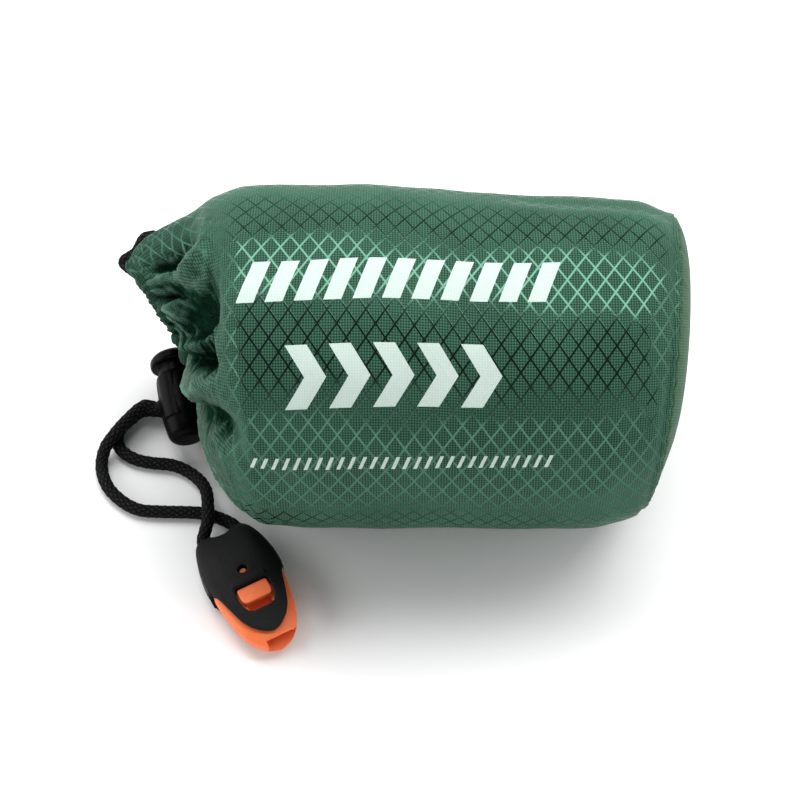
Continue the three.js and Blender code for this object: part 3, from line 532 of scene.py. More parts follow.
# gathers of the hem, crumples of the neck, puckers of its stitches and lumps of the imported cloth
def fineRelief(x, angles):
    turn = np.radians(angles)
    crinkle = summedWaves(relief["neck"], turn, x)
    for height, wave, bend, bender in neckCrests:
        crinkle = crinkle + height * crest(phase(wave, turn, x) + bend * np.sin(phase(bender, turn, x)))
    neck = fading(x, *stretches["neck"]) * (1 - sack["lobeCalm"] * upperLobe(angles))
    fromRidge = apartFrom(angles, readOff(folds["stitched ridge"][1], x))
    bend = pucker["bend"] * sin(pucker["bendWave"] * x) + pucker["slant"] * fromRidge
    puckers = pucker["height"] * crest(pi * x / pucker["every"] + bend)
    stitched = window(x, *stretches["stitches"]) * bell(fromRidge, pucker["halfWidth"])
    pleats = fading(x, *stretches["hem"]) * summedWaves(relief["hem"], turn, x)
    lumps = window(x, *stretches["barrel"]) * summedWaves(relief["barrel"], turn, x)
    return pleats + neck * crinkle + lumps + stitched * puckers


def sectionAt(x):
    y, z, rise, depth, lean, setBack = (float(readOff(sections, x, k)) for k in range(1, 7))
    lean = radians(lean)
    return {
        "x": x, "centre": np.array([x, y, z]), "rise": rise, "depth": depth, "setBack": setBack,
        "up": upTheFace * cos(lean) - alongSack * sin(lean),
        "out": -alongSack * cos(lean) - upTheFace * sin(lean),
    }


# 1 on the side towards the face, 0 behind
def faceSide(turn):
    return ((1 + np.cos(turn)) / 2) ** 2


def clothRing(section, angles, inset=0.0, push=0.0, foldScale=1.0, fine=1.0):
    turn = np.radians(angles)
    x, across, up = section["x"], np.cos(turn)[:, None], np.sin(turn)[:, None]
    radial = towardsFace * across + section["up"] * up
    points = section["centre"] + towardsFace * section["depth"] * across
    points = points + section["up"] * section["rise"] * up - radial * inset + section["out"] * push
    press = foldDepth(folds.values(), x, angles) * foldScale
    press += (foldDepth(creases, x, angles) - fineRelief(x, angles)) * fine
    slant = radians(sack["foldSlant"]) * fading(x, *sack["slantEnds"])
    points = points - radial * (press * cos(slant))[:, None]
    points[:, 0] += press * sin(slant)
    points[:, 0] += sack["baseLean"] * np.sin(turn) * smoothStep(x, sack["leanFrom"], sack["baseX"])
    points[:, 0] += section["setBack"] * faceSide(turn)
    points[:, 2] = np.maximum(points[:, 2], 0)
    return points


# how far the base stands out, from its middle (share 0) to its seam (share 1)
def baseBulge(share, angles):
    dent, bulge = sack["dent"], sack["bulge"]
    nearSeam = bell(share - dent["share"], dent["spread"]) * (1 - share**12)
    full = bulge["edge"] * (1 - share ** bulge["edgePower"]) + bulge["crown"] * (1 - share * share)
    return full - dent["depth"] * nearSeam * bell(apartFrom(angles, dent["angle"]), dent["halfWidth"])


def baseRing(share, angles, inset, fine=1.0):
    turn = np.radians(angles)
    section = sectionAt(sack["baseX"])
    out = towardsFace * section["depth"] * np.cos(turn)[:, None]
    points = section["centre"] + share * (out + upTheFace * section["rise"] * np.sin(turn)[:, None])
    points[:, 0] += sack["baseLean"] * np.sin(turn) * share + baseBulge(share, angles) - inset
    nearSeam = bell((1 - share) * section["depth"], seamPucker["reach"])
    points[:, 0] += fine * seamPucker["height"] * summedWaves(relief["baseSeam"], turn) * nearSeam
    return points


# the gathered pit inside the mouth, from its bottom to its edge
def pitRings(mouth, angles):
    turn = np.radians(angles)
    around = towardsFace * np.cos(turn)[:, None] + upTheFace * np.sin(turn)[:, None]
    # how far back from the bottom, radius, lean
    profile = [(0, 3.2, 0.18), (0.6, 4.8, 0.18), (4.5, 5.9, 0.18), (9, 6.6, 0.25)]
    profile.append((12.5, sack["mouthHole"], 0.47))
    rings = []
    for back in np.linspace(0, profile[-1][0], sack["pitRings"]):
        radius, lean = (readOff(profile, back, k) for k in (1, 2))
        pleat = summedWaves(relief["pit"], turn, back) - sack["pitSunk"]
        pleat *= smoothStep(back, 0, sack["pitSmooth"])
        points = mouth["centre"] + around * (radius + pleat)[:, None]
        points[:, 0] += sack["mouthDepth"] - back - lean * radius * np.sin(turn)
        points[:, 0] += mouth["setBack"] * radius / mouth["depth"] * faceSide(turn)
        rings.append(points)
    return rings


# the mouth's own face, out to the hem, and the rolled hem
def hemRings(mouth, angles):
    room, roll = mouth["depth"] - sack["mouthHole"] - sack["mouthEdge"], sack["hemRoll"]
    rings = []
    for share in np.linspace(*sack["hemShares"]):
        push, foldScale = (readOff(sack[key], share) for key in ("hemPush", "hemFolds"))
        rings.append(clothRing(mouth, angles, (1 - share) * room, push, foldScale, sack["hemFine"]))
    for turn in np.radians(np.linspace(*sack["rollTurn"])):
        inset, push = roll - roll * cos(turn), roll * sin(turn)
        rings.append(clothRing(mouth, angles, inset, push, sack["rollFine"]))
    return rings


# uv numbers lie between 0 and 1
def asUv(around, along):
    places = zip((around, along), cloth["uvStart"])
    return np.column_stack([(place + start) / cloth["uvSpan"] for place, start in places])


# cloth coordinates: round the sack on the barrel's scale, and along it by the distance from ring to ring
def clothCoordinates(rings, middle):
    around = anglesAt(0) / 360 * sack["girth"]
    around = np.append(around, around[0] + sack["girth"])
    along = [np.zeros(len(around))] * len(rings)
    for order, way in ((range(middle + 1, len(rings)), 1), (range(middle - 1, -1, -1), -1)):
        for i in order:
            apart = np.linalg.norm(rings[i] - rings[i - way], axis=1)
            along[i] = along[i - way] + way * np.append(apart, apart[0])
    return [asUv(around, v) for v in along]


def hiddenShare(x, angles, ring):
    turn, shares, shoulder = apartFrom(angles, 0), hidden["shares"], hidden["shoulder"]
    spacing = np.linalg.norm(np.roll(ring, -1, axis=0) - np.roll(ring, 1, axis=0), axis=1) / 2
    total = smoothStep(sack["girth"] / sack["columns"] / spacing, *hidden["tight"])
    total += shares["front"] * window(turn, *hidden["frontAngles"]) * fading(x, *stretches["frontOfNeck"])
    pulled = bell(turn - shoulder["angle"], shoulder["spread"], shoulder["power"])
    total += shares["shoulder"] * pulled * bell(x - shoulder["x"], shoulder["reach"])
    total += shares["seam"] * smoothStep(x, *stretches["nearSeam"])
    total += sum(share * fading(x, low, high) for share, low, high in hidden["nearMouth"])
    return np.clip(total, 0, 1)


# what the cloth's material needs to know at each point of a ring
def ringValues(x, inMouth, ring, run):
    angles = anglesAt(x)
    lobe = upperLobe(angles)
    # the fold depth and the fine crumples become painted shade in the hollows and painted highlight on the
    # ridges; the upper lobe gets more painted shade
    depth = foldDepth(folds.values(), x, angles) + foldDepth(creases, x, angles)
    fine = shading["fine"] * fading(x, *stretches["fineShade"]) * (1 - sack["lobeCalm"] * lobe)
    depth -= fine * fineRelief(x, angles)
    deep = smoothStep(depth, *shading["deep"]) - smoothStep(-depth, *shading["raised"])
    deep += shading["lobe"] * lobe * fading(x, *stretches["lobeShade"])
    return {
        "gridHidden": hiddenShare(x, angles, ring),
        # inside the mouth the cloth gets at least this much painted shade
        "folded": np.maximum(deep, shading["mouth"]) if inMouth else deep,
        "gathered": fading(x, *stretches["gathered"]) * (1 - shading["lobeFlat"] * lobe),
        "weaveAround": np.radians(angles) * sack["gatheredRadius"],
        "weaveAlong": np.full(len(angles), run),
    }


def makeSackBody():
    start, end, lastRing = sack["neckStart"], sack["neckEnd"], sack["lastRing"]
    mouth, mouthAngles = sectionAt(start), anglesAt(start)
    rings = pitRings(mouth, mouthAngles) + hemRings(mouth, mouthAngles)
    inMouth = len(rings)
    neck = np.linspace(start, end, round((end - start) / sack["neckStep"]) + 1)
    barrel = np.linspace(end, lastRing, round((lastRing - end) / sack["barrelStep"]) + 1)[1:]
    rings += [clothRing(sectionAt(x), anglesAt(x)) for x in (*neck, *barrel)]
    # the side cloth turns over the base seam and in behind the panel: share of the way out, and inset
    behind = sack["panelThickness"] + sack["seamGap"]
    overSeam = [(1, 1.1), (1, 0.55), (0.996, 0.2), (0.988, 0.08), (0.98, 0.25), (0.977, 0.8), (0.972, behind)]
    overSeam += [(share, behind) for share in (0.93, 0.87, 0.8, 0.7, 0.6, 0.48, 0.34, 0.18)]
    rings += [baseRing(share, anglesAt(sack["baseX"]), inset) for share, inset in overSeam]
    stations = [start] * inMouth + [*neck, *barrel] + [sack["baseX"]] * len(overSeam)
    innermost = mouth["centre"] + alongSack * (sack["mouthDepth"] + sack["pitPoint"])
    lastPoint = baseRing(0, np.array([0.0]), behind, 0)[0]
    middle = int(np.argmin(np.abs(stations)))
    piece = closedRings("sackBody", innermost, rings, lastPoint, clothCoordinates(rings, middle))
    # the distance from ring to ring along the middle of the cloth, without its folds
    middles = [ring.mean(axis=0) for ring in rings]
    radii = [np.linalg.norm(ring - centre, axis=1).mean() for ring, centre in zip(rings, middles)]
    runs = runAlong(np.column_stack([np.array(middles)[:, 0], radii]))
    values = [ringValues(x, i < inMouth, rings[i], runs[i]) for i, x in enumerate(stations)]
    for name in values[0]:
        keepValues(piece, name, np.concatenate([[0], *[row[name] for row in values], [0]]))
    return piece


# base panel: its rings from the middle outwards, and its rounded edge
panel = {
    "shares": (
        0.003, 0.05, 0.12, 0.22, 0.34, 0.45, 0.55, 0.64, 0.72, 0.79, 0.85, 0.89, 0.92, 0.945, 0.96, 0.97,
    ),
    "edgeShare": 0.973, "edgeInset": 0.3,
}


def makeEndPanel():
    angles, shares = anglesAt(sack["baseX"]), panel["shares"]
    outer = [baseRing(share, angles, 0) for share in shares]
    outer.append(baseRing(panel["edgeShare"], angles, panel["edgeInset"]))
    rings = outer + [baseRing(share, angles, sack["panelThickness"]) for share in reversed(shares)]
    closed = [np.concatenate([ring, ring[:1]]) for ring in rings]
    uvs = [asUv(ring @ upTheFace, ring @ towardsFace + cloth["panelShift"]) for ring in closed]
    first, last = (baseRing(0, np.array([0.0]), inset, 0)[0] for inset in (0, sack["panelThickness"]))
    return closedRings("endPanel", first, rings, last, uvs)


# cloth finish: ripstop nylon, sizes in millimetres on the cloth
cloth = {
    "uvSpan": 300.0, "uvStart": (150.0, 120.0), "panelShift": 30,
    "diamondRound": 7.05, "diamondAlong": 4.75, "weaveRound": 1.42, "weaveAlong": 1.36,
    "roughness": 0.62, "specular": 0.2, "lineGloss": 0.4,
    "weaveHeight": 0.6, "bump": (0.00006, 0.6), "gapShare": 0.5, "hideLines": 0.97,
    "patches": {"noise": (55, 4), "share": 0.28}, "fuzz": {"noise": (1500, 2), "share": 0.2},
    "shadeEnds": (0.14, 0.94), "lineEnds": (0.05, 0.09), "knotEnds": (0.12, 0.165),
    "foldShare": 0.95, "ridgeHighlightShare": 0.7,
    "dark": (0.0035, 0.018, 0.0095, 1),
    "light": (0.0545, 0.149, 0.096, 1),
    "panelDark": (0.021, 0.053, 0.029, 1),
    "panelLight": (0.06, 0.132, 0.076, 1),
    "sheenTint": (0.4, 0.62, 0.5, 1),
    # the next colour is painted shade in the folds and along the creases, and the one after it painted
    # highlight on the ridges
    "fold": (0.0015, 0.007, 0.004, 1),
    "ridge": (0.09, 0.215, 0.148, 1),
    "line": (0.052, 0.12, 0.086, 1),
    "print": (0.55, 0.65, 0.6, 1),
    "printGap": (0.38, 0.5, 0.44, 1),
}
# creases: long cells, bent by a noise; their bump grows with how far the cloth is gathered, and there their
# edges are painted with shade
clothCreases = {
    "bendNoise": (160, 3, "Color"), "bend": 0.012, "stretch": (0.5, 1, 1), "cellScale": 330.0,
    "ends": (0.0, 0.1), "share": 0.32, "distance": 0.0004, "strength": (0.45, 0.02),
}
# bold bars, bold chevrons and a row of thin ticks, placed by their middle up the face
printRows = [
    {"middle": 19.3, "half": 5.6, "reach": 39.6, "every": 7.2, "bar": 0.62, "slant": 0.36, "bent": False},
    {"middle": -5.4, "half": 8.0, "reach": 27.0, "every": 10.8, "bar": 0.5, "slant": 0.6, "bent": True},
    {"middle": -29.0, "half": 1.9, "reach": 38.2, "every": 2.73, "bar": 0.34, "slant": 0.36, "bent": False},
]
# degrees that the print rises towards the base
printRise = 2


# two slanting directions of the cloth, counted in repeats of a pattern
def diagonals(u, v, pattern):
    around = calc("DIVIDE", u, cloth[pattern + "Round"])
    along = calc("DIVIDE", v, cloth[pattern + "Along"])
    return [calc(operation, around, along) for operation in ("ADD", "SUBTRACT")]


def weaveDots(u, v):
    ways = diagonals(u, v, "weave")
    waves = [calc("SINE", calc("MULTIPLY", way, 2 * pi)) for way in ways]
    return calc("MULTIPLY_ADD", calc("MULTIPLY", *waves), 0.5, 0.5)


# two sets of shiny thicker yarns that cross in diamonds, with a knot at each crossing
def gridLines(u, v):
    toLine = []
    for way in diagonals(u, v, "diamond"):
        share = calc("FRACT", way)
        toLine.append(calc("ABSOLUTE", calc("SUBTRACT", share, 0.5)))
    line = ramp(calc("MINIMUM", *toLine), *cloth["lineEnds"], 1.0, 0.0)
    knot = ramp(calc("ADD", *toLine), *cloth["knotEnds"], 1.0, 0.0)
    shown = calc("MULTIPLY_ADD", keptValue("gridHidden"), -cloth["hideLines"], 1.0)
    return calc("MULTIPLY", calc("MAXIMUM", line, knot), shown)


# creases that run towards the mouth: the edges of long cells, made uneven
def creaseLines():
    place = addNode("ShaderNodeTexCoord").outputs["Object"]
    bend = {0: noise(*clothCreases["bendNoise"]), "Scale": clothCreases["bend"]}
    shift = addNode("ShaderNodeVectorMath", bend, operation="SCALE").outputs[0]
    bent = addNode("ShaderNodeVectorMath", {0: place, 1: shift}, operation="ADD").outputs[0]
    longer = addNode("ShaderNodeMapping", {"Vector": bent, "Scale": clothCreases["stretch"]}).outputs[0]
    inputs = {"Vector": longer, "Scale": clothCreases["cellScale"]}
    cells = addNode("ShaderNodeTexVoronoi", inputs, feature="DISTANCE_TO_EDGE")
    return ramp(cells.outputs["Distance"], *clothCreases["ends"])


# where the cloth is gathered, its weave is drawn as if the cloth were slack
def slackWeave(gathered, weave):
    fuzz = cloth["fuzz"]
    dots = weaveDots(keptValue("weaveAround"), keptValue("weaveAlong"))
    slack = blend(fuzz["share"], dots, noise(*fuzz["noise"]))
    return blend(gathered, weave, slack)


def printMask(u, v):
    masks = []
    for row in printRows:
        middle = calc("MULTIPLY_ADD", v, tan(radians(printRise)), row["middle"])
        up = calc("SUBTRACT", u, middle)
        lean = calc("ABSOLUTE", up) if row["bent"] else calc("MULTIPLY", up, -1.0)
        along = calc("MULTIPLY_ADD", lean, row["slant"], v)
        if row["bent"]:
            along = calc("SUBTRACT", along, row["slant"] * row["half"] / 2)
        inside = calc("LESS_THAN", calc("ABSOLUTE", up), row["half"])
        within = calc("LESS_THAN", calc("ABSOLUTE", along), row["reach"])
        fromStart = calc("ADD", along, row["reach"])
        beat = calc("FRACT", calc("DIVIDE", fromStart, row["every"]))
        bar = calc("LESS_THAN", beat, row["bar"])
        masks.append(calc("MULTIPLY", calc("MULTIPLY", inside, within), bar))
    return calc("MAXIMUM", calc("MAXIMUM", masks[0], masks[1]), masks[2])


def makeClothMaterial(name, printed):
    material, shader = startMaterial(name, cloth["roughness"], cloth["specular"])
    fillIn(shader, {"Specular Tint": cloth["sheenTint"]})
    uv = addNode("ShaderNodeUVMap", uv_map="cloth").outputs[0]
    parts = addNode("ShaderNodeSeparateXYZ", {0: uv}).outputs
    starts = cloth["uvStart"]
    u, v = (calc("MULTIPLY_ADD", parts[k], cloth["uvSpan"], -starts[k]) for k in (0, 1))
    weave = weaveDots(u, v)
    height = calc("MULTIPLY", weave, cloth["weaveHeight"])
    if printed:
        gathered = keptValue("gathered")
        weave = slackWeave(gathered, weave)
    patches = cloth["patches"]
    yarns = calc("MULTIPLY", weave, 1 - patches["share"])
    shade = calc("MULTIPLY_ADD", noise(*patches["noise"]), patches["share"], yarns)
    dark, light = ("dark", "light") if printed else ("panelDark", "panelLight")
    color = mixColor(ramp(shade, *cloth["shadeEnds"]), cloth[dark], cloth[light])
    under = {}
    if printed:
        # painted shade in the folds and along the creases, and painted highlight on the ridges, mixed into
        # the cloth's colour
        depth, crease = keptValue("folded"), creaseLines()
        folded = calc("MULTIPLY", calc("MAXIMUM", depth, 0.0), cloth["foldShare"])
        raised = calc("MULTIPLY", calc("MINIMUM", depth, 0.0), -cloth["ridgeHighlightShare"])
        color = mixColor(raised, color, cloth["ridge"])
        share = clothCreases["share"]
        creaseShade = calc("MULTIPLY", calc("MULTIPLY_ADD", crease, -share, share), gathered)
        color = mixColor(calc("MAXIMUM", folded, creaseShade), color, cloth["fold"])
        onLine = gridLines(u, v)
        color = mixColor(onLine, color, cloth["line"])
        inked = printMask(u, v)
        ink = mixColor(calc("MULTIPLY", weave, cloth["gapShare"]), cloth["print"], cloth["printGap"])
        color = mixColor(inked, color, ink)
        shiny = calc("MULTIPLY", onLine, calc("SUBTRACT", 1.0, inked))
        rough = calc("MULTIPLY_ADD", shiny, -cloth["lineGloss"], cloth["roughness"])
        # where shade is painted in the folds the cloth also turns metallic with its dark colour, so that it
        # shows no sheen there
        fillIn(shader, {"Metallic": calc("MAXIMUM", shiny, folded), "Roughness": rough})
        height = calc("MAXIMUM", height, onLine)
        strength = calc("MULTIPLY_ADD", gathered, *clothCreases["strength"])
        under = {"Normal": bump(crease, clothCreases["distance"], strength)}
    fillIn(shader, {"Base Color": color, "Normal": bump(height, *cloth["bump"], **under)})
    return material


# the short stretch of cord that shows outside the hem at the back: x, angle, height over the cloth
# it also stands out from the mouth, by a share of that height
backRoute = [
    (-60.5, 106, -1.5), (-62, 107, 1.2), (-63.6, 108, 3.0), (-65.6, 109, 2.1), (-67.4, 110, 3.0),
    (-68.6, 111, 1.4), (-69, 112, -1.5),
]
backPush = 0.6


def makeCordBack():
    points = []
    for x, angle, height in backRoute:
        angles = np.array([float(angle)])
        points.append(clothRing(sectionAt(x), angles, -height, backPush * height, 1, 0)[0])
    return braidedTube("cordBack", smoothLine(points, cord["step"]))


cordBack = makeCordBack()
sackBody = makeSackBody()
sackBody.data.materials.append(makeClothMaterial("printedCloth", True))
endPanel = makeEndPanel()
endPanel.data.materials.append(makeClothMaterial("plainCloth", False))
print("sack:", len(sackBody.data.polygons), "faces, base panel:", len(endPanel.data.polygons))


# hard pieces are shaped in edit mode from one flat start, then cut by modifiers
def addPrimitive(kind, location=(0, 0, 0), **settings):
    bpy.ops.object.select_all(action="DESELECT")
    getattr(bpy.ops.mesh, "primitive_" + kind + "_add")(location=location, **settings)
    return bpy.context.object


def selectOnly(piece):
    bpy.ops.object.select_all(action="DESELECT")
    piece.select_set(True)
    bpy.context.view_layer.objects.active = piece


def applyModifier(piece, kind, **settings):
    selectOnly(piece)
    modifier = piece.modifiers.new(kind.lower(), kind)
    for key, value in settings.items():
        setattr(modifier, key, value)
    bpy.ops.object.modifier_apply(modifier=modifier.name)


def cutWith(piece, cutter, operation="DIFFERENCE"):
    applyModifier(piece, "BOOLEAN", operation=operation, object=cutter, solver="EXACT")
    selectOnly(cutter)
    bpy.ops.object.delete()


def openEdit():
    bpy.ops.object.mode_set(mode="EDIT")
    bpy.ops.mesh.select_all(action="SELECT")


def extrudeTo(step, shares, centre):
    bpy.ops.mesh.extrude_region_move(TRANSFORM_OT_translate={"value": step})
    bpy.ops.transform.resize(value=shares, center_override=centre)


def closeEdit():
    bpy.ops.mesh.select_all(action="SELECT")
    bpy.ops.mesh.normals_make_consistent(inside=False)
    bpy.ops.object.mode_set(mode="OBJECT")


# a turned piece: a disc that is extruded and resized through (radius, height)
def turnedPiece(name, profile, sides):
    radius, height = profile[0]
    piece = addPrimitive("circle", vertices=sides, radius=radius * mm, fill_type="NGON")
    piece.name = name
    openEdit()
    bpy.ops.transform.translate(value=(0, 0, height * mm))
    for nextRadius, nextHeight in profile[1:]:
        share = nextRadius / radius
        extrudeTo((0, 0, (nextHeight - height) * mm), (share, share, 1), (0, 0, nextHeight * mm))
        radius, height = nextRadius, nextHeight
    closeEdit()
    return piece


# a moulded piece along Y: a rounded square, extruded through rows of (y, half width, low side, high side)
def mouldedPiece(name, rows):
    piece = addPrimitive("plane", size=2 * mm, rotation=(pi / 2, 0, 0))
    piece.name = name
    bpy.ops.object.transform_apply(location=True, rotation=True, scale=True)
    openEdit()
    corner = {"offset": whistle["roundness"] * mm, "segments": whistle["cornerSteps"], "profile": 0.5}
    bpy.ops.mesh.bevel(affect="VERTICES", **corner)
    bpy.ops.mesh.select_all(action="SELECT")
    y, half, low, high = rows[0]
    bpy.ops.transform.resize(value=(half, 1, (high - low) / 2), center_override=(0, 0, 0))
    bpy.ops.transform.translate(value=(0, y * mm, (low + high) / 2 * mm))
    for nextY, nextHalf, nextLow, nextHigh in rows[1:]:
        step = (0, (nextY - y) * mm, (nextLow + nextHigh - low - high) / 2 * mm)
        centre = (0, nextY * mm, (nextLow + nextHigh) / 2 * mm)
        extrudeTo(step, (nextHalf / half, 1, (nextHigh - nextLow) / (high - low)), centre)
        y, half, low, high = nextY, nextHalf, nextLow, nextHigh
    closeEdit()
    return piece


# a flat strip grown edge by edge along Y through (y, left, right), then raised from low to high
def raisedPlan(rows, low, high):
    (y, left, right), (nextY, _, _) = rows[:2]
    piece = addPrimitive("plane", size=1)
    openEdit()
    bpy.ops.transform.resize(value=((right - left) * mm, (nextY - y) * mm, 1), center_override=(0, 0, 0))
    bpy.ops.transform.translate(value=((left + right) / 2 * mm, (y + nextY) / 2 * mm, low * mm))
    bpy.ops.object.mode_set(mode="OBJECT")
    # only the strip's far edge stays selected
    for vertex in piece.data.vertices:
        vertex.select = bool(vertex.co.y > (y + nextY) / 2 * mm)
    for edge in piece.data.edges:
        edge.select = all(piece.data.vertices[i].select for i in edge.vertices)
    for face in piece.data.polygons:
        face.select = False
    bpy.ops.object.mode_set(mode="EDIT")
    bpy.ops.mesh.select_mode(type="EDGE")
    y, width, middle = nextY, right - left, (left + right) / 2
    for nextY, nextLeft, nextRight in rows[1:]:
        nextWidth, nextMiddle = nextRight - nextLeft, (nextLeft + nextRight) / 2
        centre = (nextMiddle * mm, nextY * mm, low * mm)
        shift = ((nextMiddle - middle) * mm, (nextY - y) * mm, 0)
        shares = (nextWidth / width, 1, 1)
        if nextY > y:
            extrudeTo(shift, shares, centre)
        else:
            bpy.ops.transform.translate(value=shift)
            bpy.ops.transform.resize(value=shares, center_override=centre)
        y, width, middle = nextY, nextWidth, nextMiddle
    bpy.ops.mesh.select_mode(type="VERT")
    bpy.ops.mesh.select_all(action="SELECT")
    bpy.ops.mesh.extrude_region_move(TRANSFORM_OT_translate={"value": (0, 0, (high - low) * mm)})
    closeEdit()
    return piece


def boxCutter(low, high):
    low, high = np.array(low) * mm, np.array(high) * mm
    return addPrimitive("cube", (low + high) / 2, size=1, scale=high - low)


cutterSides = 48


def roundCutter(place, radii, length, turn=(0, 0, 0)):
    settings = {"depth": length * mm, "rotation": turn, "scale": (*radii, 1)}
    place = [value * mm for value in place]
    return addPrimitive("cylinder", place, vertices=cutterSides, radius=mm, **settings)


# soft moulded edges: an even skin of small faces, smoothed a little, with the piece's place in its mesh
def finishPiece(piece, grain, rounds, holder):
    applyModifier(piece, "REMESH", mode="VOXEL", voxel_size=grain * mm)
    applyModifier(piece, "SMOOTH", factor=0.5, iterations=rounds)
    piece.data.polygons.foreach_set("use_smooth", [True] * len(piece.data.polygons))
    turn, place = holder
    piece.matrix_world = Matrix.Translation(Vector(place * mm)) @ Matrix(turn.tolist()).to_4x4()
    selectOnly(piece)
    bpy.ops.object.transform_apply(location=True, rotation=True, scale=True)
    return piece


# the slot for both strands through the lock, with room above it for the button's travel
def strandSlot(radius, travel=0):
    reach = radius + lock["cutMargin"]
    half = cord["diameter"] / 2 + lock["clearance"]
    across = cord["strandOffset"] + half
    return boxCutter((-reach, -across, lock["holeZ"] - half), (reach, across, lock["holeZ"] + half + travel))


# rows of (inset, rise) from a radius and a height
def stepped(rows, radius, height):
    return [(radius + inset, height + rise) for inset, rise in rows]


def makeLockBarrel():
    size = lock["barrel"]
    top, radius, bore, floor, grip = (size[key] for key in ("top", "radius", "bore", "floor", "grip"))
    profile = stepped(size["foot"], radius, size["bottom"]) + stepped(size["rim"], radius, top)
    profile += [(bore, top - size["boreEdge"]), (bore, floor), (size["floorRing"], floor)]
    barrel = turnedPiece("lockBarrel", profile, lock["sides"])
    # a raised grip on each side, with a step at its lower end
    low, high, radii = grip["low"], grip["high"], (grip["radius"], grip["radius"])
    for side in (-1, 1):
        place = (0, side * grip["offset"], (low + high) / 2)
        cutWith(barrel, roundCutter(place, radii, high - low), "UNION")
    # the bore goes down to its floor, also between the grips
    depth = top + size["topMargin"] - floor
    cutWith(barrel, roundCutter((0, 0, floor + depth / 2), (bore, bore), depth))
    cutWith(barrel, strandSlot(radius))
    return finishPiece(barrel, *size["finish"], lockFrame)


def makeLockPlunger():
    size = lock["plunger"]
    stem, bottom, head, radius = (size[key] for key in ("stem", "bottom", "head", "headRadius"))
    profile = [(stem - size["bevel"], bottom), (stem, bottom + size["bevel"]), (stem, head)]
    profile += stepped(size["underHead"], radius, head) + stepped(size["dome"], radius, size["top"])
    plunger = turnedPiece("lockPlunger", profile, lock["sides"])
    cutWith(plunger, strandSlot(stem, lock["travel"]))
    return finishPiece(plunger, *size["finish"], lockFrame)


# whistle: sizes along it, from its cord end; plans hold half widths, windows (y, left, right)
whistleBodyShape = {
    "plan": [
        (14, 9.2), (18, 10), (22, 9.7), (27, 8.9), (30, 8.2), (32.8, 7.1), (35.6, 5.2), (37.4, 2.9),
        (38.3, 0),
    ],
    "high": [(14, 7.6), (18, 8.3), (27, 8.4), (33, 8.1), (36.4, 7.5), (38, 6.4)],
    "low": [(14, 2.6), (18, 2.0), (27, 1.9), (33, 2.0), (36.4, 2.4), (38, 3.3)],
    "stations": [
        14, 15, 16, 18, 20, 22, 24, 26, 28, 30, 31.5, 32.8, 34, 35, 35.8, 36.6, 37.2, 37.7, 38.0, 38.2,
    ],
    "narrowest": 0.8,
    "finish": (0.17, 4),
    "slot": ((-5.6, 27, 3.4), (3.2, 40, 6.6)),
    "upperLip": ((-4.5, 35.5, 3.4), (3.2, 40, 9)),
    "block": [(20, -4.0, 4.0), (20.4, -4.3, 4.3), (23.0, -4.45, 4.45), (24.1, -4.1, 4.1), (24.6, -3.5, 3.5)],
    "blockEnds": (6.6, 10.3),
    "soundSlot": ((-3.4, 24.6, 4.2), (3.4, 27.4, 10)),
    "boss": ((0, 15.1, 8), (0.95, 0.8), 3.0),
}
whistleCoverShape = {
    "plan": [
        (0, 6.9), (1.6, 8.1), (5.6, 9.5), (10, 10.4), (14, 10.8), (18, 10.8), (19, 9.7), (23, 8.4),
        (28.2, 6.8), (31, 5.2), (33, 3.1), (34, 1.5), (34.4, 0.1),
    ],
    "high": [(0, 6.0), (3, 7.6), (8, 9.4), (14, 10.4), (20, 10.6), (28, 10.2), (36, 9.4)],
    "low": [(0, 0.9), (3, 0.4), (8, 0), (36, 0)],
    "stations": [0, 0.3, 0.8, 1.6, 2.6, 3.5, 5, 6.5, 8, 10, 12, 14, 16, 18, 20, 23, 26, 29, 32, 36],
    "widest": (18.5, 10.9),
    "planStations": [-0.5, 0, *np.arange(1, 34, 0.75), 34.0, 34.25, 34.4],
    "planEnds": (-1, 12),
    "finish": (0.2, 5),
    "openFront": ((-12, 18.4, 1.6), (12, 40, 8.7)),
    "window": [
        (19.6, -4.4, 4.4), (20.0, -4.75, 4.75), (23.2, -5.0, 5.0), (25.4, -4.5, 4.5), (26.8, -3.7, 3.7),
        (27.4, -2.5, 2.5),
    ],
    "windowEnds": (5, 12),
    "lip": ((-4.9, 17.7, 9.4), (4.9, 19.4, 11.5)),
    "roundHole": ((0, 14.9, 10), (1.3, 1.15), 6),
    "cordHole": {"y": 2.5, "clearance": 0.45, "length": 9},
    "hollowEnd": ((0, -0.2, 4), (3.1, 1.5), 14),
    "notches": [((10.9, 17.4, 5.4), (1.7, 1.9), 6.4), ((-11.6, 17.6, 5.4), (1.3, 1.2), 6.4)],
}


def bodyRows(grow):
    shape, rows = whistleBodyShape, []
    for y in shape["stations"]:
        half, low, high = (float(readOff(shape[key], y)) for key in ("plan", "low", "high"))
        rows.append((y, max(half, shape["narrowest"]) + grow, low - grow, high + grow))
    return rows


def makeWhistleBody():
    shape = whistleBodyShape
    body = mouldedPiece("whistleBody", bodyRows(0))
    # the blown end: a slot, with its upper lip set back
    cutWith(body, boxCutter(*shape["slot"]))
    cutWith(body, boxCutter(*shape["upperLip"]))
    # the block that fills the cover's window, and the sound slot in front of it
    cutWith(body, raisedPlan(shape["block"], *shape["blockEnds"]), "UNION")
    cutWith(body, boxCutter(*shape["soundSlot"]))
    # the small boss that shows in the cover's round hole
    cutWith(body, roundCutter(*shape["boss"]), "UNION")
    return finishPiece(body, *shape["finish"], whistleFrame)


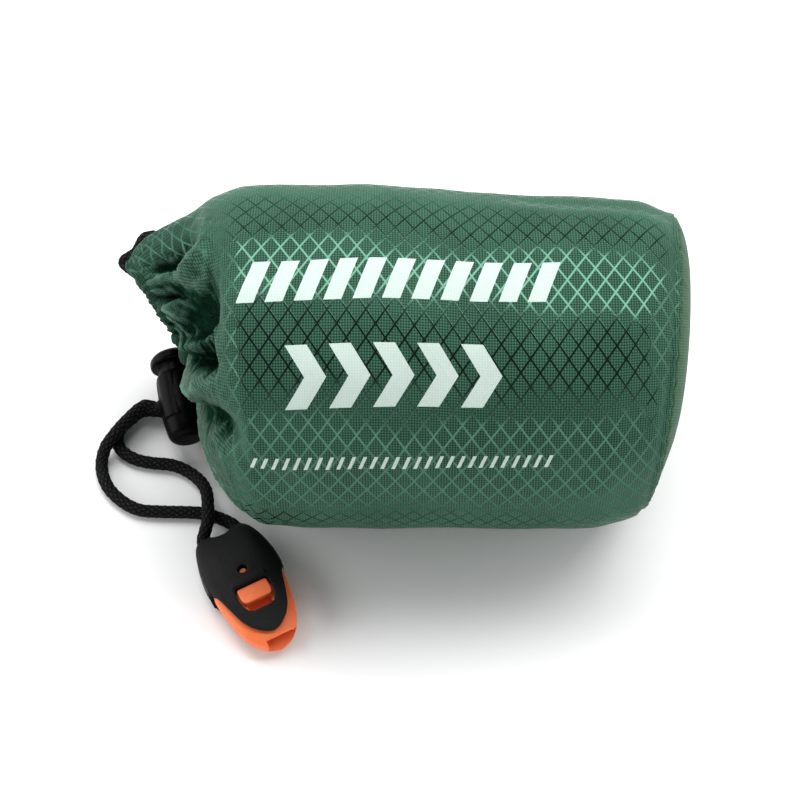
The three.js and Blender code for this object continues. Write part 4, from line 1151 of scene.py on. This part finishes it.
def makeWhistleCover():
    shape, gap = whistleCoverShape, whistle["gap"]
    widestY, widestHalf = shape["widest"]
    rows = []
    for y in shape["stations"]:
        half, low, high = (float(readOff(shape[key], y)) for key in ("plan", "low", "high"))
        rows.append((y, half if y < widestY else widestHalf, low, high))
    cover = mouldedPiece("whistleCover", rows)
    halves = [float(readOff(shape["plan"], y)) for y in shape["planStations"]]
    plan = [(y, -half, half) for y, half in zip(shape["planStations"], halves)]
    cutWith(cover, raisedPlan(plan, *shape["planEnds"]), "INTERSECT")
    cavity = bodyRows(gap)
    cavity[0] = (cavity[0][0] - gap, *cavity[0][1:])
    cutWith(cover, mouldedPiece("cavity", cavity))
    cutWith(cover, boxCutter(*shape["openFront"]))
    cutWith(cover, raisedPlan(shape["window"], *shape["windowEnds"]))
    # raised lip behind the window, and the round hole behind that
    cutWith(cover, boxCutter(*shape["lip"]), "UNION")
    cutWith(cover, roundCutter(*shape["roundHole"]))
    hole = shape["cordHole"]
    radius = cord["diameter"] / 2 + hole["clearance"]
    for side in (-1, 1):
        place = (side * whistle["lugOffset"], hole["y"], whistle["lugHeight"])
        cutWith(cover, roundCutter(place, (radius, radius), hole["length"], (pi / 2, 0, 0)))
    # the hollow between the cords, and notches in the rim, where the orange begins
    for hollow in (shape["hollowEnd"], *shape["notches"]):
        cutWith(cover, roundCutter(*hollow))
    return finishPiece(cover, *shape["finish"], whistleFrame)


# moulded plastics: fine grain, and darker patches
plastics = {
    "satinBlackPlastic": {"color": (0.0015, 0.0015, 0.0017), "rough": 0.34, "grain": 1500, "specular": 0.05},
    "mattBlackPlastic": {"color": (0.0062, 0.0062, 0.007), "rough": 0.55, "grain": 1000, "specular": 0.14},
    "orangePlastic": {"color": (1.0, 0.2, 0.06), "rough": 0.4, "grain": 900, "specular": 0.3},
}
plasticGrain = {
    "detail": 3, "roughSpread": 0.2, "bump": (0.00008, 0.7), "patchNoise": (130, 2), "patchDark": 0.7,
}


def makePlastic(name):
    look = plastics[name]
    material, shader = startMaterial(name, look["rough"], look["specular"])
    fine, spread = noise(look["grain"], plasticGrain["detail"]), plasticGrain["roughSpread"]
    darker = [value * plasticGrain["patchDark"] for value in look["color"]]
    color = mixColor(noise(*plasticGrain["patchNoise"]), (*darker, 1), (*look["color"], 1))
    rough = calc("MULTIPLY_ADD", fine, spread, look["rough"] - spread / 2)
    normal = bump(fine, *plasticGrain["bump"])
    fillIn(shader, {"Base Color": color, "Roughness": rough, "Normal": normal})
    return material


lockBarrel = makeLockBarrel()
lockPlunger = makeLockPlunger()
whistleCover = makeWhistleCover()
whistleBody = makeWhistleBody()
satinBlack, mattBlack, orange = (makePlastic(name) for name in plastics)
hardPieces = {lockBarrel: satinBlack, lockPlunger: satinBlack, whistleCover: mattBlack, whistleBody: orange}
for piece, finish in hardPieces.items():
    piece.data.materials.append(finish)
print("lock and whistle:", [len(piece.data.polygons) for piece in hardPieces])

# plain stage and soft light
stage = {
    "floorSize": 12, "floorColor": (0.92, 0.92, 0.92, 1), "roughness": 0.8, "specular": 0.2,
    "sky": 0.075, "lightsLookAt": (0, 0, 0.04),
}
lights = {
    "keyLight": {"place": (0.1, 0.465, 0.914), "size": (1.8, 0.74), "power": 22.5},
    "backLight": {"place": (0.05, 1.15, 0.22), "size": (2.0, 0.45), "power": 1.7},
    "frontLight": {"place": (0.05, -1.05, 0.18), "size": (1.7, 0.45), "power": 4.3},
    "leftLight": {"place": (-0.95, 0.0, 0.36), "size": (1.1, 0.7), "power": 8.5},
    "frontGlow": {"place": (0.05, -1.0, 0.62), "size": (1.7, 0.34), "power": 0.9},
    "rightLight": {"place": (0.95, 0.05, 0.36), "size": (1.1, 0.7), "power": 5},
}


def addLight(name, place, size, power):
    data = bpy.data.lights.new(name, "AREA")
    data.shape = "RECTANGLE"
    data.size, data.size_y = size
    data.energy = power
    lamp = bpy.data.objects.new(name, data)
    lamp.location = place
    lamp.rotation_euler = (Vector(stage["lightsLookAt"]) - Vector(place)).to_track_quat("-Z", "Y").to_euler()
    bpy.context.collection.objects.link(lamp)


def addStage():
    floor = addPrimitive("plane", size=stage["floorSize"])
    floor.name = "floor"
    material, shader = startMaterial("paleFloor", stage["roughness"], stage["specular"])
    fillIn(shader, {"Base Color": stage["floorColor"]})
    floor.data.materials.append(material)
    for name, light in lights.items():
        addLight(name, **light)
    world = bpy.data.worlds.new("softWorld")
    world.use_nodes = True
    background = world.node_tree.nodes["Background"]
    background.inputs[0].default_value = (1, 1, 1, 1)
    background.inputs[1].default_value = stage["sky"]
    bpy.context.scene.world = world
    bpy.context.scene.view_settings.view_transform = "Standard"


addStage()
print("stage: floor and", len(lights), "lights")

# which piece stands for which solid, and what moves with what
for piece, node, slotName in (
    (sackBody, "sack_body", "cloth"),
    (endPanel, "end_panel", "cloth"),
    (cordOuter, "cord_outer", "cord"),
    (cordInner, "cord_inner", "cord"),
    (cordBack, "cord_back", "cord"),
    (lockBarrel, "lock_barrel", "black_plastic"),
    (lockPlunger, "lock_plunger", "black_plastic"),
    (whistleCover, "whistle_cover", "black_plastic"),
    (whistleBody, "whistle_body", "orange_plastic"),
):
    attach(piece, "plunger" if piece is lockPlunger else "sack")
    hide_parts(node)
